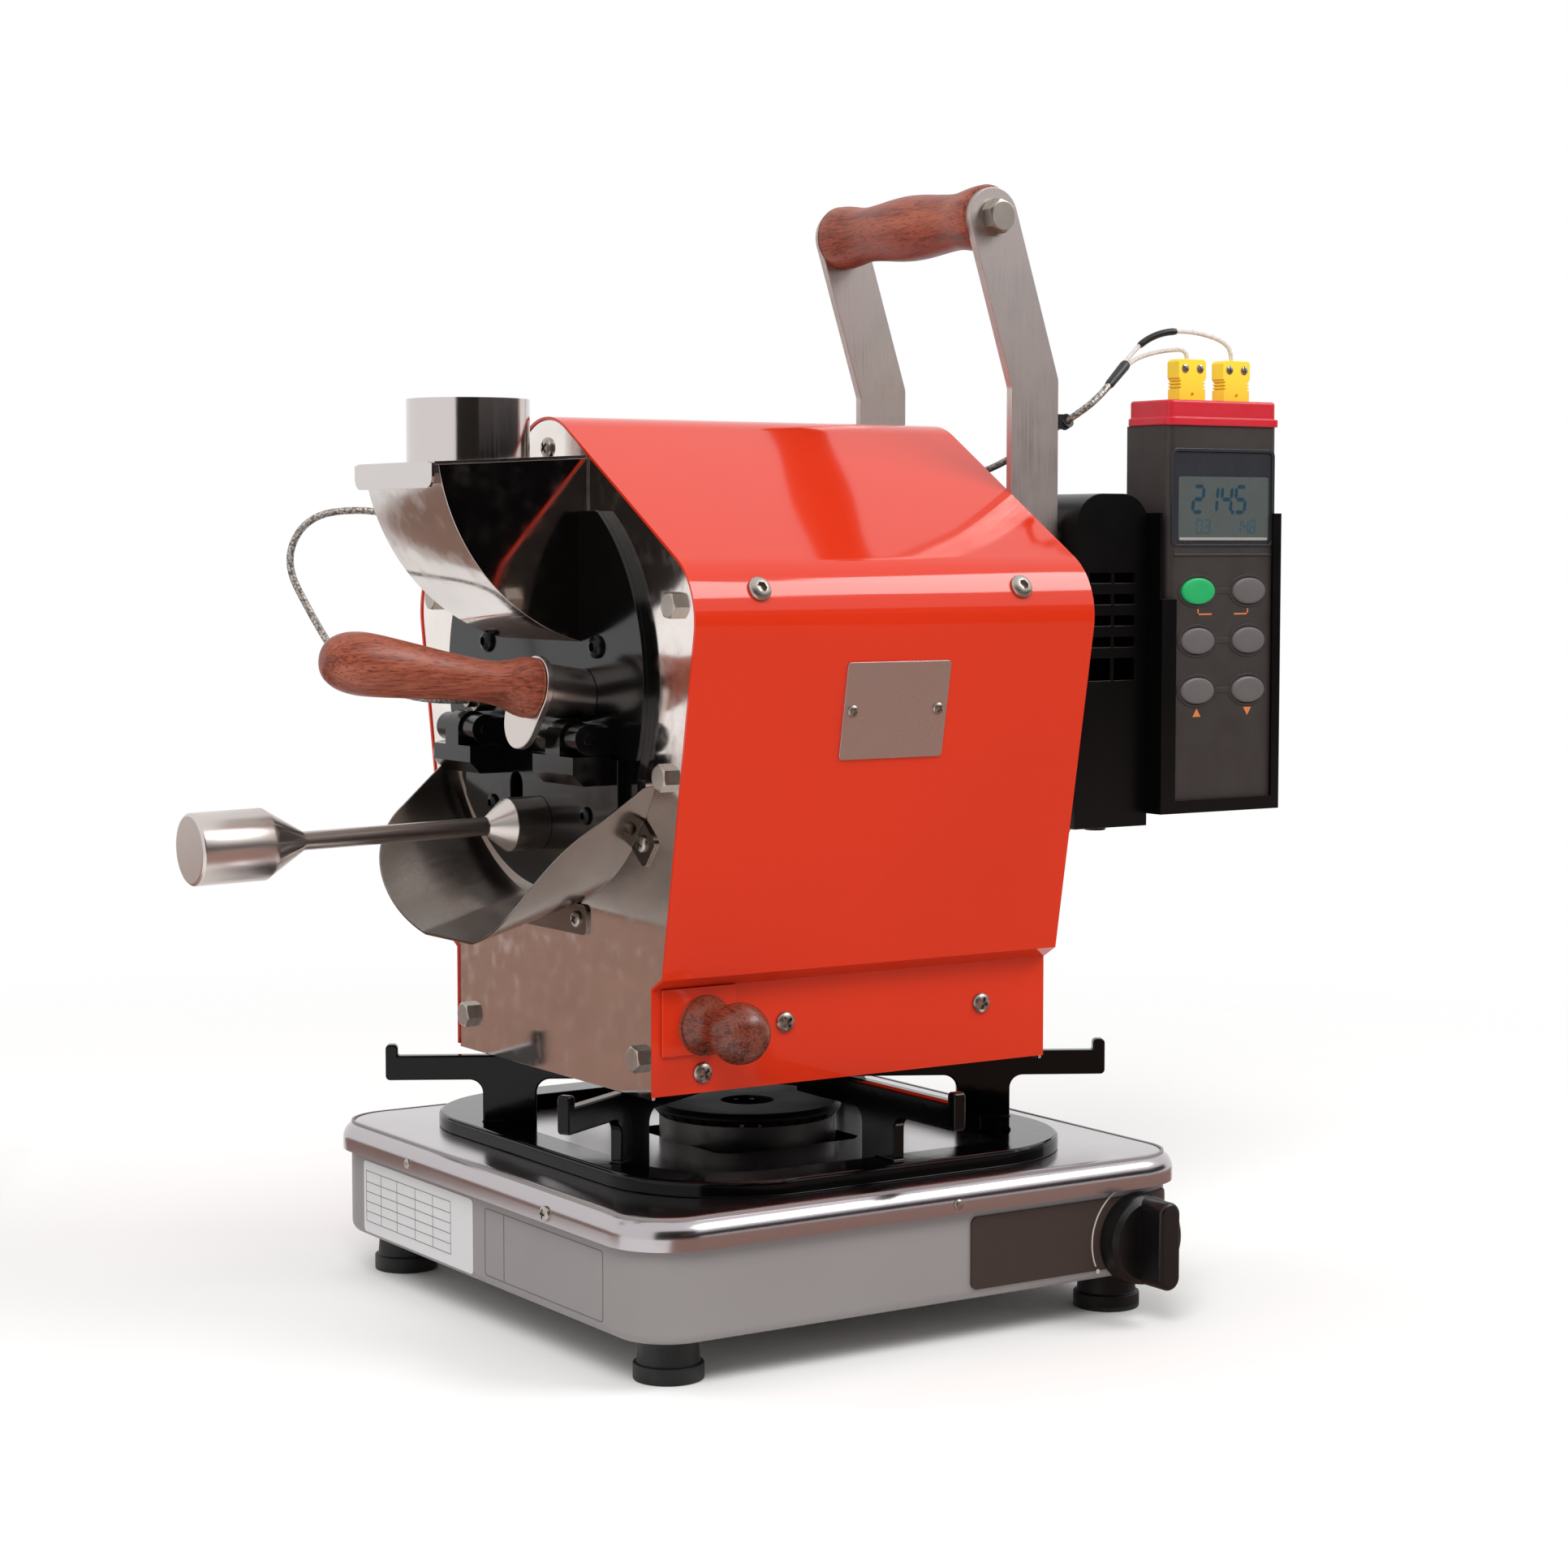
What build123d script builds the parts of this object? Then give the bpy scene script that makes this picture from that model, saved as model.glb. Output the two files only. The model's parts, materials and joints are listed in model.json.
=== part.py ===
from build123d import *
import os
from math import atan2, cos, hypot, radians, sin, tan

# A gas-fired home drum roaster for coffee, on the trivet of a one-burner stove.
# Millimetres. x = 0 is the middle of the roaster, y = 0 the outer face of its front plate (the front looks
# along -Y) and z = 0 the surface that the feet of the stove stand on.

# ---------------------------------------------------------------- clearances
fit_gap = 0.05        # radial gap of a shaft or shank in its hole
slide_gap = 0.3       # gap between parts that slide past each other
touch_gap = 0.3       # gap at a rounded seat

# ---------------------------------------------------------------- stove
stove_width = 290.0
stove_depth = 281.0
stove_middle_y = 100.0
stove_corner = 28.0
stove_sheet = 1.2
foot_height = 18.4
foot_radius = 11.9
foot_base_radius = 14.4
foot_base_height = 7.0
foot_spacing_x = 234.0
foot_spacing_y = 224.0
skirt_low = 56.9
rim_top = 71.0
rim_round = 5.0
rim_width = 9.0
plate_drop = 1.5
skirt_overhang = 3.9
burner_hole_radius = 50.0
skirt_screw_z = 61.0
skirt_screw_x = 67.6
skirt_rivet_x = -57.7
skirt_rivet_radius = 2.2
panel_y0 = 119.8
panel_y1 = 229.0
panel_z0 = 23.0
panel_z1 = 54.0
panel_thick = 1.0
knob_y = 208.0
knob_z = 35.0
knob_radius = 20.0
knob_base_height = 9.0
knob_grip_width = 11.0
knob_grip_height = 23.0
spindle_radius = 4.0
valve_length = 55.0
inlet_setback = 47.0
valve_width = 26.0
valve_tall = 22.0
valve_shift = 9.0
spindle_length = 16.0
mixing_tube_radius = 7.0
mixing_tube_z = 44.0
hose_radius = 4.8
nipple_radius = 5.4
nipple_length = 11.0
burner_radius = 42.0
burner_base_top = 79.0
burner_cap_height = 7.0
burner_stem_radius = 16.0
burner_bowl_radius = 30.0
burner_slots = 30
burner_slot_width = 2.2
burner_slot_depth = 3.0

# ---------------------------------------------------------------- trivet
trivet_top = 106.0
trivet_arms = 6
arm_width = 5.5
arm_height = 11.0
arm_inner_radius = 44.0
arm_tip_radius = 161.0
prong_height = 5.0
prong_length = 5.5
post_width = 24.0
post_setback = 8.0
arm_fillet = 6.0
ring_width = 252.0
ring_depth = 220.0
ring_shift_y = -2.5
ring_band_x = 21.0
ring_band_y = 18.0
ring_corner = 46.0
ring_thick = 3.5

# ---------------------------------------------------------------- housing
housing_length = 200.3
sheet = 1.2
plate_thick = 1.5
foot_half_width = 86.1
kink_low = 45.5
kink_high = 50.4
kink_half_width = 94.5
shoulder_half_width = 123.4
shoulder_height = 210.9
ridge_height = 286.3
shoulder_round = 30.0
ridge_round = 32.0
cover_lift = 1.5
cover_lap = 0.6
plate_fit = 0.1
rod_radius = 5.0
low_rod_radius = 4.0
bolt_radius = 3.0
bolt_depth = 9.0
hex_flats = 10.0
hex_height = 4.0
high_bolt_x = 104.0
high_bolt_z = 202.5
mid_bolt_x = 96.5
mid_bolt_z = 133.0
low_bolt_x = 75.0
low_bolt_z = 16.0
ridge_screw_z = 267.6
ridge_screw_head = 3.4
cover_screw_radius = 2.5
cover_screw_head = 5.2
cover_screw_y0 = 31.1
cover_screw_y1 = 162.6
side_screw_radius = 2.0
side_screw_head = 4.4
side_screw_z = 27.5
side_screw_y0 = 63.8
side_screw_y1 = 165.7
foot_screw_y = 23.1
foot_screw_z = 9.7
rail_sheet = 2.0
rail_shelf = 14.0
rail_low = 4.0
rail_step = 16.0
rail_high = 44.0
heat_plate_thick = 1.5
heat_slot_length = 40.0
heat_slot_width = 6.0
name_plate_y = 100.0
name_plate_height = 158.5
name_plate_width = 52.0
name_plate_tall = 41.0
name_plate_thick = 0.8
name_screw_radius = 1.4
name_screw_head = 2.6
name_screw_inset = 4.5

# ---------------------------------------------------------------- drum and its drive
axis_height = 169.7
drum_radius = 80.0
drum_sheet = 1.0
drum_front = 3.0
drum_length = 186.0
drum_vanes = 3
vane_height = 17.0
vane_thick = 1.2
vane_twist = 70.0
hub_radius = 13.0
hub_length = 8.0
shaft_radius = 6.0
bearing_radius = 21.0
bearing_thick = 5.0
bearing_boss_radius = 13.0
bearing_boss_length = 12.0
bearing_screw_circle = 16.5
small_screw_radius = 1.5
small_screw_head = 2.8

# ---------------------------------------------------------------- front disc, door and hinges
disc_radius = 85.6
disc_layer = 2.0
disc_flat = 240.5
disc_low = 139.0
frame_lip = 131.0
frame_half_width = 77.0
frame_radius = 90.0
mouth_radius = 70.0
mouth_top = 129.0
inlet_half_width = 28.0
inlet_low = 194.0
inlet_high = 228.0
disc_screw_x = 48.0
disc_screw_z = 184.5
disc_screw_radius = 2.5
disc_screw_head = 4.9
door_half_width = 67.0
door_thick = 3.5
door_gap = 0.3
door_screw_x = 41.0
door_screw_z = 114.0
door_screw_radius = 2.0
door_screw_head = 3.9
sight_x = -20.0
sight_z = 118.0
sight_width = 11.0
sight_height = 22.0
hinge_x = 45.0
hinge_y = -16.0
hinge_z = 147.0
hinge_width = 34.0
hinge_barrel = 6.4
hinge_knuckle = 7.6
hinge_middle = 12.0
hinge_leaf = 3.2
hinge_leaf_tall = 10.5
hinge_arm_rise = 5.0
hinge_pin_radius = 2.4
pin_proud = 0.4
hinge_base_top = 140.0
hinge_base_low = 128.0
hinge_bevel = 5.0

# ---------------------------------------------------------------- weighted lever of the door
lever_z = 108.4
lever_droop = 1.3
lever_base_radius = 11.5
lever_base_length = 15.6
lever_cone_length = 9.9
lever_rod_radius = 3.9
lever_rod_length = 84.2
weight_cone_length = 18.2
weight_radius = 14.8
weight_length = 31.2
weight_chamfer = 1.0

# ---------------------------------------------------------------- trier and bean probe
trier_x = 37.0
trier_z = 164.0
trier_tilt = 8.5
bush_radius = 11.0
bush_length = 22.0
spoon_radius = 8.3
spoon_wall = 0.9
spoon_length = 116.0
spoon_open_length = 78.0
flange_radius = 13.5
flange_reach = 14.0
flange_lean = 240.0
flange_thick = 3.0
grip_flare = 12.5
grip_waist = 8.6
grip_belly = 12.8
grip_length = 95.0
probe_x = -52.0
probe_z = 158.7
probe_nut_flats = 9.0
probe_nut_length = 5.0
probe_collar_radius = 3.2
probe_collar_length = 4.0
probe_stem_radius = 2.0
probe_stem_length = 24.0

# ---------------------------------------------------------------- hopper and its lid
hopper_half_width = 34.5
hopper_sheet = 1.0
hopper_curve = 88.5
hopper_curve_y = 18.0
hopper_curve_z = 272.0
lid_sheet = 1.2
lid_front_y = -72.0
lid_front_z = 260.2
lid_rear_z = 263.8
lid_side_lap = 1.2
lid_lip_low = 249.5
lid_lip_round = 5.0
pipe_radius = 25.75
pipe_wall = 1.0
pipe_y = -38.0
pipe_top = 287.0

# ---------------------------------------------------------------- chute
chute_radius = 96.0
chute_flat_drop = 93.7
chute_sheet = 1.0
chute_fall = 0.29
chute_tip_drop = 41.2
chute_tip_y = -6.0
chute_mid_y = -29.0
chute_mid_drop = 58.7
chute_bow_y = -46.5
chute_bow_drop = 79.7
chute_lip_y = -49.0
chute_lip_drop = 109.7
tab_sheet = 1.2
tab_width = 15.0
tab_length = 15.0
tab_round = 3.0
tab_radius = 102.5
tab_lean = -39.0
low_tab_width = 66.0
low_tab_drop = 100.7
low_tab_tall = 13.0
low_tab_screw_x = 25.0
tab_screw_radius = 2.0
tab_screw_head = 3.6

# ---------------------------------------------------------------- chaff drawer
drawer_y0 = 3.3
drawer_y1 = 38.9
drawer_z0 = 17.8
drawer_z1 = 45.6
drawer_margin = 3.0
drawer_sheet = 0.8
drawer_length = 154.0
drawer_wall_tall = 13.5
guide_sheet = 1.0
guide_wall_tall = 7.0
drawer_knob_y = 23.8
drawer_knob_z = 29.5
drawer_knob_base = 12.2
drawer_knob_neck = 7.4
drawer_knob_ball = 12.6
drawer_knob_reach = 26.0

# ---------------------------------------------------------------- carry handle
arm_face_x = 61.0
arm_thick = 4.0
arm_strip = 26.0
arm_foot_z = 144.0
arm_bend_z = 298.0
arm_end_y = 190.0
arm_end_z = 370.0
arm_bend_round = 6.0
foot_flange_width = 24.0
foot_flange_tall = 48.0
foot_bolt_inset = 13.0
grip_end_radius = 14.3
grip_neck_radius = 12.2
grip_middle_radius = 14.6
handle_bolt_radius = 4.0
handle_bolt_depth = 30.0
handle_hex_flats = 13.0
handle_hex_height = 5.5
washer_radius = 8.0
washer_thick = 1.6

# ---------------------------------------------------------------- motor box
box_gap = 28.0
box_depth = 41.7
box_half_width = 72.0
box_drop = 70.7
box_rise = 79.8
box_sheet = 1.5
box_round = 15.0
spacer_radius = 6.0
spacer_x = 46.0
spacer_drop = 50.7
spacer_rise = 56.3
vent_rows = 5
vent_rise = 44.3
vent_pitch = 9.6
vent_height = 4.6
vent_tall = 10.0
vent_y0 = 8.0
vent_y1 = 34.0
vent_rib = 2.0
gearbox_width = 58.0
gearbox_depth = 26.0
motor_radius = 17.0
motor_length = 32.0
pad_radius = 6.0
pad_height = 3.5
pad_x = 46.0

# ---------------------------------------------------------------- temperature logger and its holder
logger_back_x = 50.0
logger_thick = 30.0
logger_width = 65.0
logger_y0 = 274.9
logger_low = 106.0
logger_high = 280.5
logger_round = 4.0
cap_high = 292.0
cap_rim = 3.5
cap_lap = 1.0
cap_step = 1.4
holder_sheet = 1.5
holder_wall_high = 233.0
holder_lip = 7.0
holder_far_lip = 4.0
holder_lip_high = 202.0
holder_floor_lip = 6.0
holder_front_gap = 0.3
bezel_y0 = 278.0
bezel_y1 = 336.2
bezel_z0 = 227.0
bezel_z1 = 268.7
bezel_depth = 0.8
screen_thick = 0.5
button_near_y = 292.2
button_far_y = 322.6
button_high_z = 205.5
button_pitch_z = 22.7
button_length = 19.5
button_tall = 12.0
button_proud = 1.4
button_deep = 2.6
button_gap = 0.3
plug_near_y = 297.4
plug_far_y = 323.9
plug_width = 16.3
plug_tall = 19.0
plug_thick = 8.4
plug_x = 65.0
plug_waist = 1.2
plug_screw_radius = 1.9

# ---------------------------------------------------------------- thermocouple leads
lead_radius = 1.6
wire_radius = 1.0
sleeve_radius = 2.3
clip_radius = 3.3
clip_length = 3.6
sleeve_length = 18.4

# ---------------------------------------------------------------- places worked out from the sizes
base_z = trivet_top                       # the roaster stands on the trivet
axis_z = base_z + axis_height
stove_half_x = stove_width / 2
body_half_x = stove_half_x - skirt_overhang
plate_top = rim_top - plate_drop
wall_top = rim_top - stove_sheet - touch_gap
rear_face = housing_length
rear_inside = housing_length - plate_thick
disc_face = -2 * disc_layer
door_face = -disc_layer - door_thick
box_y0 = rear_face + box_gap
box_y1 = box_y0 + box_depth
wall_lean = atan2(shoulder_half_width - kink_half_width, shoulder_height - kink_high)
logger_face_x = logger_back_x + logger_thick
centred = (Align.CENTER, Align.CENTER, Align.MIN)


# ---------------------------------------------------------------- helpers
def slab_x(sketch, x0, x1):
    """Raise a sketch drawn in (Y, Z) from x0 to x1."""
    return extrude(Plane.YZ.offset(x0) * sketch, amount=x1 - x0)


def slab_y(sketch, y0, y1):
    """Raise a sketch drawn in (X, Z) from y0 to y1."""
    return extrude(Plane.XZ.offset(-y0) * sketch, amount=-(y1 - y0))


def slab_z(sketch, z0, z1):
    """Raise a sketch drawn in (X, Y) from z0 to z1."""
    return extrude(Plane.XY.offset(z0) * sketch, amount=z1 - z0)


def area(x0, x1, y0, y1):
    """A rectangle between two pairs of sketch coordinates."""
    return Pos((x0 + x1) / 2, (y0 + y1) / 2) * Rectangle(x1 - x0, y1 - y0)


def aim(origin, direction):
    """A frame at a point whose Z looks along a direction."""
    return Plane(origin=origin, z_dir=direction)


def rod(origin, direction, radius, length):
    """A round bar from a point along a direction."""
    return aim(origin, direction) * Cylinder(radius, length, align=centred)


def drill(seat, outward, radius, depth):
    """The room of a hole that starts on a surface and goes into it."""
    outward = Vector(*outward)
    return rod(Vector(*seat) + outward, -outward, radius, depth + 1)


def turned(outline, origin, direction):
    """Turn a closed outline drawn in (radius, height) and stand it on a point."""
    return aim(origin, direction) * revolve(Plane.XZ * make_face(outline), axis=Axis.Z)


def mirrored(shape):
    """A shape and its mirror image across the middle of the roaster."""
    return [shape, mirror(shape, about=Plane.YZ)]


def hex_bolt(origin, direction, flats, height, radius, depth):
    """A hexagon head on a surface, with its shank behind it."""
    head = extrude(RegularPolygon(flats / 2, 6, major_radius=False), amount=height)
    shank = Pos(0, 0, -depth) * Cylinder(radius, depth, align=centred)
    return aim(origin, direction) * (head + shank)


def pan_screw(origin, direction, head_radius, radius, depth):
    """A domed head on a surface, with its shank behind it."""
    height = 0.55 * head_radius
    outline = Polyline((0, -depth), (radius, -depth), (radius, 0), (head_radius, 0), (head_radius, 0.3 * height),
                       (0.62 * head_radius, height), (0, height), (0, -depth))
    return turned(outline, origin, direction)


def rounded_plan(half_x, half_y, corner):
    """A rounded rectangle in (X, Y) about the middle of the stove."""
    return Pos(0, stove_middle_y) * RectangleRounded(2 * half_x, 2 * half_y, corner)


# ---------------------------------------------------------------- stove
def stove_body():
    half_y = stove_depth / 2 - skirt_overhang
    corner = stove_corner - skirt_overhang
    outer = slab_z(rounded_plan(body_half_x, half_y, corner), foot_height, wall_top)
    outer = fillet(outer.faces().sort_by(Axis.Z)[0].edges(), radius=rim_round)
    inner = rounded_plan(body_half_x - stove_sheet, half_y - stove_sheet, corner - stove_sheet)
    inner = slab_z(inner, foot_height + stove_sheet, wall_top)
    body = outer - fillet(inner.faces().sort_by(Axis.Z)[0].edges(), radius=rim_round - stove_sheet)
    body -= rod((body_half_x - 9, knob_y, knob_z), (1, 0, 0), spindle_radius + 1, 20)
    body -= rod((gas_inlet_x(), stove_middle_y + half_y - 9, knob_z), (0, 1, 0), hose_radius + fit_gap, 20)
    for x, y, direction in skirt_fasteners():
        body -= drill((x, y, skirt_screw_z), direction, 1.5 + fit_gap, 12)
    return body


def gas_inlet_x():
    return body_half_x - stove_sheet - inlet_setback


def skirt_fasteners():
    """Places of the screws and rivets in the skirt: x, y and the way they look."""
    front = stove_middle_y - stove_depth / 2
    rear = stove_middle_y + stove_depth / 2
    places = []
    for x in (skirt_screw_x, skirt_rivet_x):
        places.append((x, front, (0, -1, 0)))
        places.append((x, rear, (0, 1, 0)))
    for side in (-1, 1):
        places.append((side * stove_half_x, stove_middle_y + 11, (side, 0, 0)))
    return places


def stove_top():
    half_y = stove_depth / 2
    outer = slab_z(rounded_plan(stove_half_x, half_y, stove_corner), skirt_low, rim_top)
    outer = fillet(outer.faces().sort_by(Axis.Z)[-1].edges(), radius=rim_round)
    inner = rounded_plan(stove_half_x - stove_sheet, half_y - stove_sheet, stove_corner - stove_sheet)
    inner = slab_z(inner, skirt_low, rim_top - stove_sheet)
    top = outer - fillet(inner.faces().sort_by(Axis.Z)[-1].edges(), radius=rim_round - stove_sheet)
    border = rim_width - stove_sheet
    pan = rounded_plan(stove_half_x - border, half_y - border, stove_corner - border)
    top += slab_z(pan, plate_top - stove_sheet, rim_top - stove_sheet / 2)
    top -= slab_z(rounded_plan(stove_half_x - rim_width, half_y - rim_width, stove_corner - rim_width),
                  plate_top, rim_top)
    top -= Pos(0, stove_middle_y, skirt_low) * Cylinder(burner_hole_radius, 40, align=centred)
    for x, y, direction in skirt_fasteners():
        top -= drill((x, y, skirt_screw_z), direction, 1.5 + fit_gap, 3)
    return top


def stove_feet():
    outline = Polyline((0, 0), (foot_base_radius, 0), (foot_base_radius, foot_base_height),
                       (foot_radius + 1, foot_base_height), (foot_radius, foot_height), (0, foot_height), (0, 0))
    feet = []
    for sx in (-1, 1):
        for sy in (-1, 1):
            place = (sx * foot_spacing_x / 2, stove_middle_y + sy * foot_spacing_y / 2, 0)
            feet.append(turned(outline, place, (0, 0, 1)))
    return feet


def stove_screws():
    screws = []
    for x, y, direction in skirt_fasteners():
        head = 3.4 if x == skirt_screw_x else skirt_rivet_radius
        screws.append(pan_screw((x, y, skirt_screw_z), direction, head, 1.5, skirt_overhang + stove_sheet))
    return screws


def control_panel():
    half_y = stove_depth / 2 - skirt_overhang
    corner = stove_corner - skirt_overhang
    outer = rounded_plan(body_half_x + panel_thick, half_y + panel_thick, corner + panel_thick)
    band = slab_z(outer - rounded_plan(body_half_x, half_y, corner), panel_z0, panel_z1)
    band = band & slab_x(area(panel_y0, panel_y1, panel_z0, panel_z1), 0, stove_width)
    return band - rod((body_half_x - 5, knob_y, knob_z), (1, 0, 0), spindle_radius + 1, 20)


def knob_seat_x():
    return body_half_x + panel_thick + slide_gap


def gas_knob():
    outline = Polyline((0, 0), (knob_radius, 0), (knob_radius - 1, knob_base_height - 2),
                       (knob_radius - 3, knob_base_height), (0, knob_base_height), (0, 0))
    knob = revolve(Plane.XZ * make_face(outline), axis=Axis.Z)
    grip = extrude(SlotOverall(2 * knob_radius - 2, knob_grip_width, rotation=90), amount=knob_grip_height)
    grip = fillet(grip.faces().sort_by(Axis.Z)[-1].edges(), radius=2.0)
    knob = knob + grip
    knob -= Cylinder(spindle_radius + fit_gap, knob_grip_height - 6, align=centred)
    place = Plane(origin=(knob_seat_x(), knob_y, knob_z), x_dir=(0, 1, 0), z_dir=(1, 0, 0))
    return place * knob


def gas_valve():
    back = body_half_x - stove_sheet
    middle_y = knob_y - valve_shift
    block = slab_x(Pos(middle_y, knob_z) * RectangleRounded(valve_width, valve_tall, 4), back - valve_length, back)
    spindle = rod((back, knob_y, knob_z), (1, 0, 0), spindle_radius, spindle_length)
    inlet_start = middle_y + valve_width / 2
    nipple_start = stove_middle_y + stove_depth / 2 + 1
    inlet = rod((gas_inlet_x(), inlet_start, knob_z), (0, 1, 0), hose_radius, nipple_start - inlet_start)
    nipple = rod((gas_inlet_x(), nipple_start, knob_z), (0, 1, 0), nipple_radius, nipple_length)
    return block + spindle + inlet + nipple


def tube_direction():
    """Level direction from the middle of the burner towards the valve."""
    start_x = body_half_x - stove_sheet - valve_length
    reach = hypot(start_x, knob_y - stove_middle_y)
    return Vector(start_x / reach, (knob_y - stove_middle_y) / reach, 0)


def mixing_tube():
    """The bent tube between the valve and the bowl of the burner."""
    end = Vector(body_half_x - stove_sheet - valve_length, knob_y, knob_z + 1)
    away = tube_direction()
    start = Vector(0, stove_middle_y, mixing_tube_z) + away * (burner_bowl_radius - 6)
    bend = start + away * 42
    path = FilletPolyline(start, bend, end - Vector(30, 0, 0), end, radius=22)
    return sweep(Plane(origin=path @ 0, z_dir=path % 0) * Circle(mixing_tube_radius), path=path)


def burner_base():
    top = burner_base_top
    rim = burner_radius - 2.5
    floor = foot_height + stove_sheet
    outline = Polyline((0, floor), (burner_stem_radius, floor), (burner_stem_radius, 32),
                       (burner_bowl_radius, 36), (burner_bowl_radius, 54), (rim, 68), (rim, top),
                       (rim - 7, top), (rim - 9, 66), (16, 52), (0, 52), (0, floor))
    base = turned(outline, (0, stove_middle_y, 0), (0, 0, 1))
    return base + mixing_tube()


def burner_cap():
    top = burner_base_top + burner_cap_height
    outline = Polyline((12, burner_base_top + 4), (12, top - 1.5), (burner_radius - 2, top - 1), (burner_radius, top - 3),
                       (burner_radius, burner_base_top + burner_slot_depth), (burner_radius - 2.5, burner_base_top),
                       (burner_radius - 9, burner_base_top), (burner_radius - 9, burner_base_top + 4),
                       (12, burner_base_top + 4))
    cap = turned(outline, (0, stove_middle_y, 0), (0, 0, 1))
    slot = Box(14, burner_slot_width, burner_slot_depth, align=(Align.MIN, Align.CENTER, Align.MIN))
    for i in range(burner_slots):
        turn = Rot(0, 0, i * 360 / burner_slots)
        cap -= Pos(0, stove_middle_y, burner_base_top - 0.2) * turn * Pos(burner_radius - 11, 0, 0) * slot
    return cap


# ---------------------------------------------------------------- trivet
def trivet():
    low = trivet_top - arm_height
    post_outer = ring_width / 2 - post_setback
    post_inner = post_outer - post_width
    outline = Polyline((arm_inner_radius, trivet_top), (arm_tip_radius - prong_length, trivet_top),
                       (arm_tip_radius - prong_length, trivet_top + prong_height),
                       (arm_tip_radius, trivet_top + prong_height), (arm_tip_radius, low),
                       (post_outer, low), (post_outer, plate_top), (post_inner, plate_top),
                       (post_inner, low), (arm_inner_radius, low), close=True)
    face = make_face(outline)
    elbows = [v for v in face.vertices() if abs(v.Y - low) < 0.1 and post_inner - 1 < v.X < post_outer + 1]
    face = fillet(elbows, radius=arm_fillet)
    tips = [v for v in face.vertices() if v.X > arm_tip_radius - 0.1 or v.Y > trivet_top + 1]
    face = fillet(tips, radius=2.0)
    arm = extrude(Plane.XZ * face, amount=arm_width / 2, both=True)
    middle = Pos(0, stove_middle_y + ring_shift_y)
    ring = middle * RectangleRounded(ring_width, ring_depth, ring_corner)
    ring -= middle * RectangleRounded(ring_width - 2 * ring_band_x, ring_depth - 2 * ring_band_y, ring_corner - 14)
    body = slab_z(ring, plate_top, plate_top + ring_thick)
    body = chamfer(body.faces().sort_by(Axis.Z)[-1].outer_wire().edges(), length=1.2)
    for i in range(trivet_arms):
        body += Pos(0, stove_middle_y, 0) * Rot(0, 0, i * 360 / trivet_arms) * arm
    return body


# ---------------------------------------------------------------- housing
def housing_face(inset=0.0, low=0.0):
    """The section of the housing in (X, Z), drawn in by an inset and cut off at a height above its base."""
    corners = [(foot_half_width, 0), (foot_half_width, kink_low), (kink_half_width, kink_high),
               (shoulder_half_width, shoulder_height)]
    right = [(x, base_z + z) for x, z in corners]
    left = [(-x, z) for x, z in reversed(right)]
    face = make_face(Polyline(*right, (0, base_z + ridge_height), *left, close=True))
    shoulders = [v for v in face.vertices() if abs(v.X) > shoulder_half_width - 0.1]
    face = fillet(shoulders, radius=shoulder_round)
    ridge = [v for v in face.vertices() if abs(v.X) < 0.1]
    face = fillet(ridge, radius=ridge_round)
    if inset:
        face = offset(face, amount=-inset, kind=Kind.INTERSECTION)
        face += area(inset - foot_half_width, foot_half_width - inset, base_z, base_z + kink_low / 2)
    return face & area(-shoulder_half_width, shoulder_half_width, base_z + low, base_z + ridge_height)


def front_bolts():
    """Centres (X, Z) of the six bolts that hold each end plate, with the radius of the rod behind."""
    centres = []
    for side in (-1, 1):
        centres.append((side * high_bolt_x, base_z + high_bolt_z, rod_radius))
        centres.append((side * mid_bolt_x, base_z + mid_bolt_z, rod_radius))
        centres.append((side * low_bolt_x, base_z + low_bolt_z, low_rod_radius))
    return centres


def shoulder_centre():
    """Centre (X, Z above the base) of the round of the right shoulder."""
    slope = atan2(ridge_height - shoulder_height, shoulder_half_width)
    reach = shoulder_round * tan((radians(90) + wall_lean - slope) / 2)
    x = shoulder_half_width - reach * sin(wall_lean) - shoulder_round * cos(wall_lean)
    z = shoulder_height - reach * cos(wall_lean) + shoulder_round * sin(wall_lean)
    return x, z


def cover_screw_places():
    """Seats of the screws square to the shoulders, the way they look and their height above the tie rods."""
    centre_x, centre_z = shoulder_centre()
    away_x, away_z = high_bolt_x - centre_x, high_bolt_z - centre_z
    reach = hypot(away_x, away_z)
    height = shoulder_round - reach
    places = []
    for side in (-1, 1):
        direction = Vector(side * away_x / reach, 0, away_z / reach)
        for y in (cover_screw_y0, cover_screw_y1):
            centre = Vector(side * high_bolt_x, y, base_z + high_bolt_z)
            places.append((centre + direction * height, direction, height))
    return places


def side_screw_places():
    places = []
    for side in (-1, 1):
        for y, z in ((side_screw_y0, side_screw_z), (side_screw_y1, side_screw_z), (foot_screw_y, foot_screw_z)):
            places.append((Vector(side * foot_half_width, y, base_z + z), Vector(side, 0, 0)))
    return places


def name_plate_plane():
    """A frame on the flared wall: its X runs along +Y and its Y up the wall."""
    rise = (name_plate_height - kink_high) / (shoulder_height - kink_high)
    x = kink_half_width + rise * (shoulder_half_width - kink_half_width)
    return Plane(origin=(x, name_plate_y, base_z + name_plate_height), x_dir=(0, 1, 0),
                 z_dir=(cos(wall_lean), 0, -sin(wall_lean)))


def name_screw_places():
    reach = name_plate_width / 2 - name_screw_inset
    return [Pos(-reach, 0, name_plate_thick), Pos(reach, 0, name_plate_thick)]


def drawer_hole():
    margin = drawer_margin
    return area(drawer_y0 + margin, drawer_y1 - margin, base_z + drawer_z0 + margin, base_z + drawer_z1 - margin)


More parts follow.
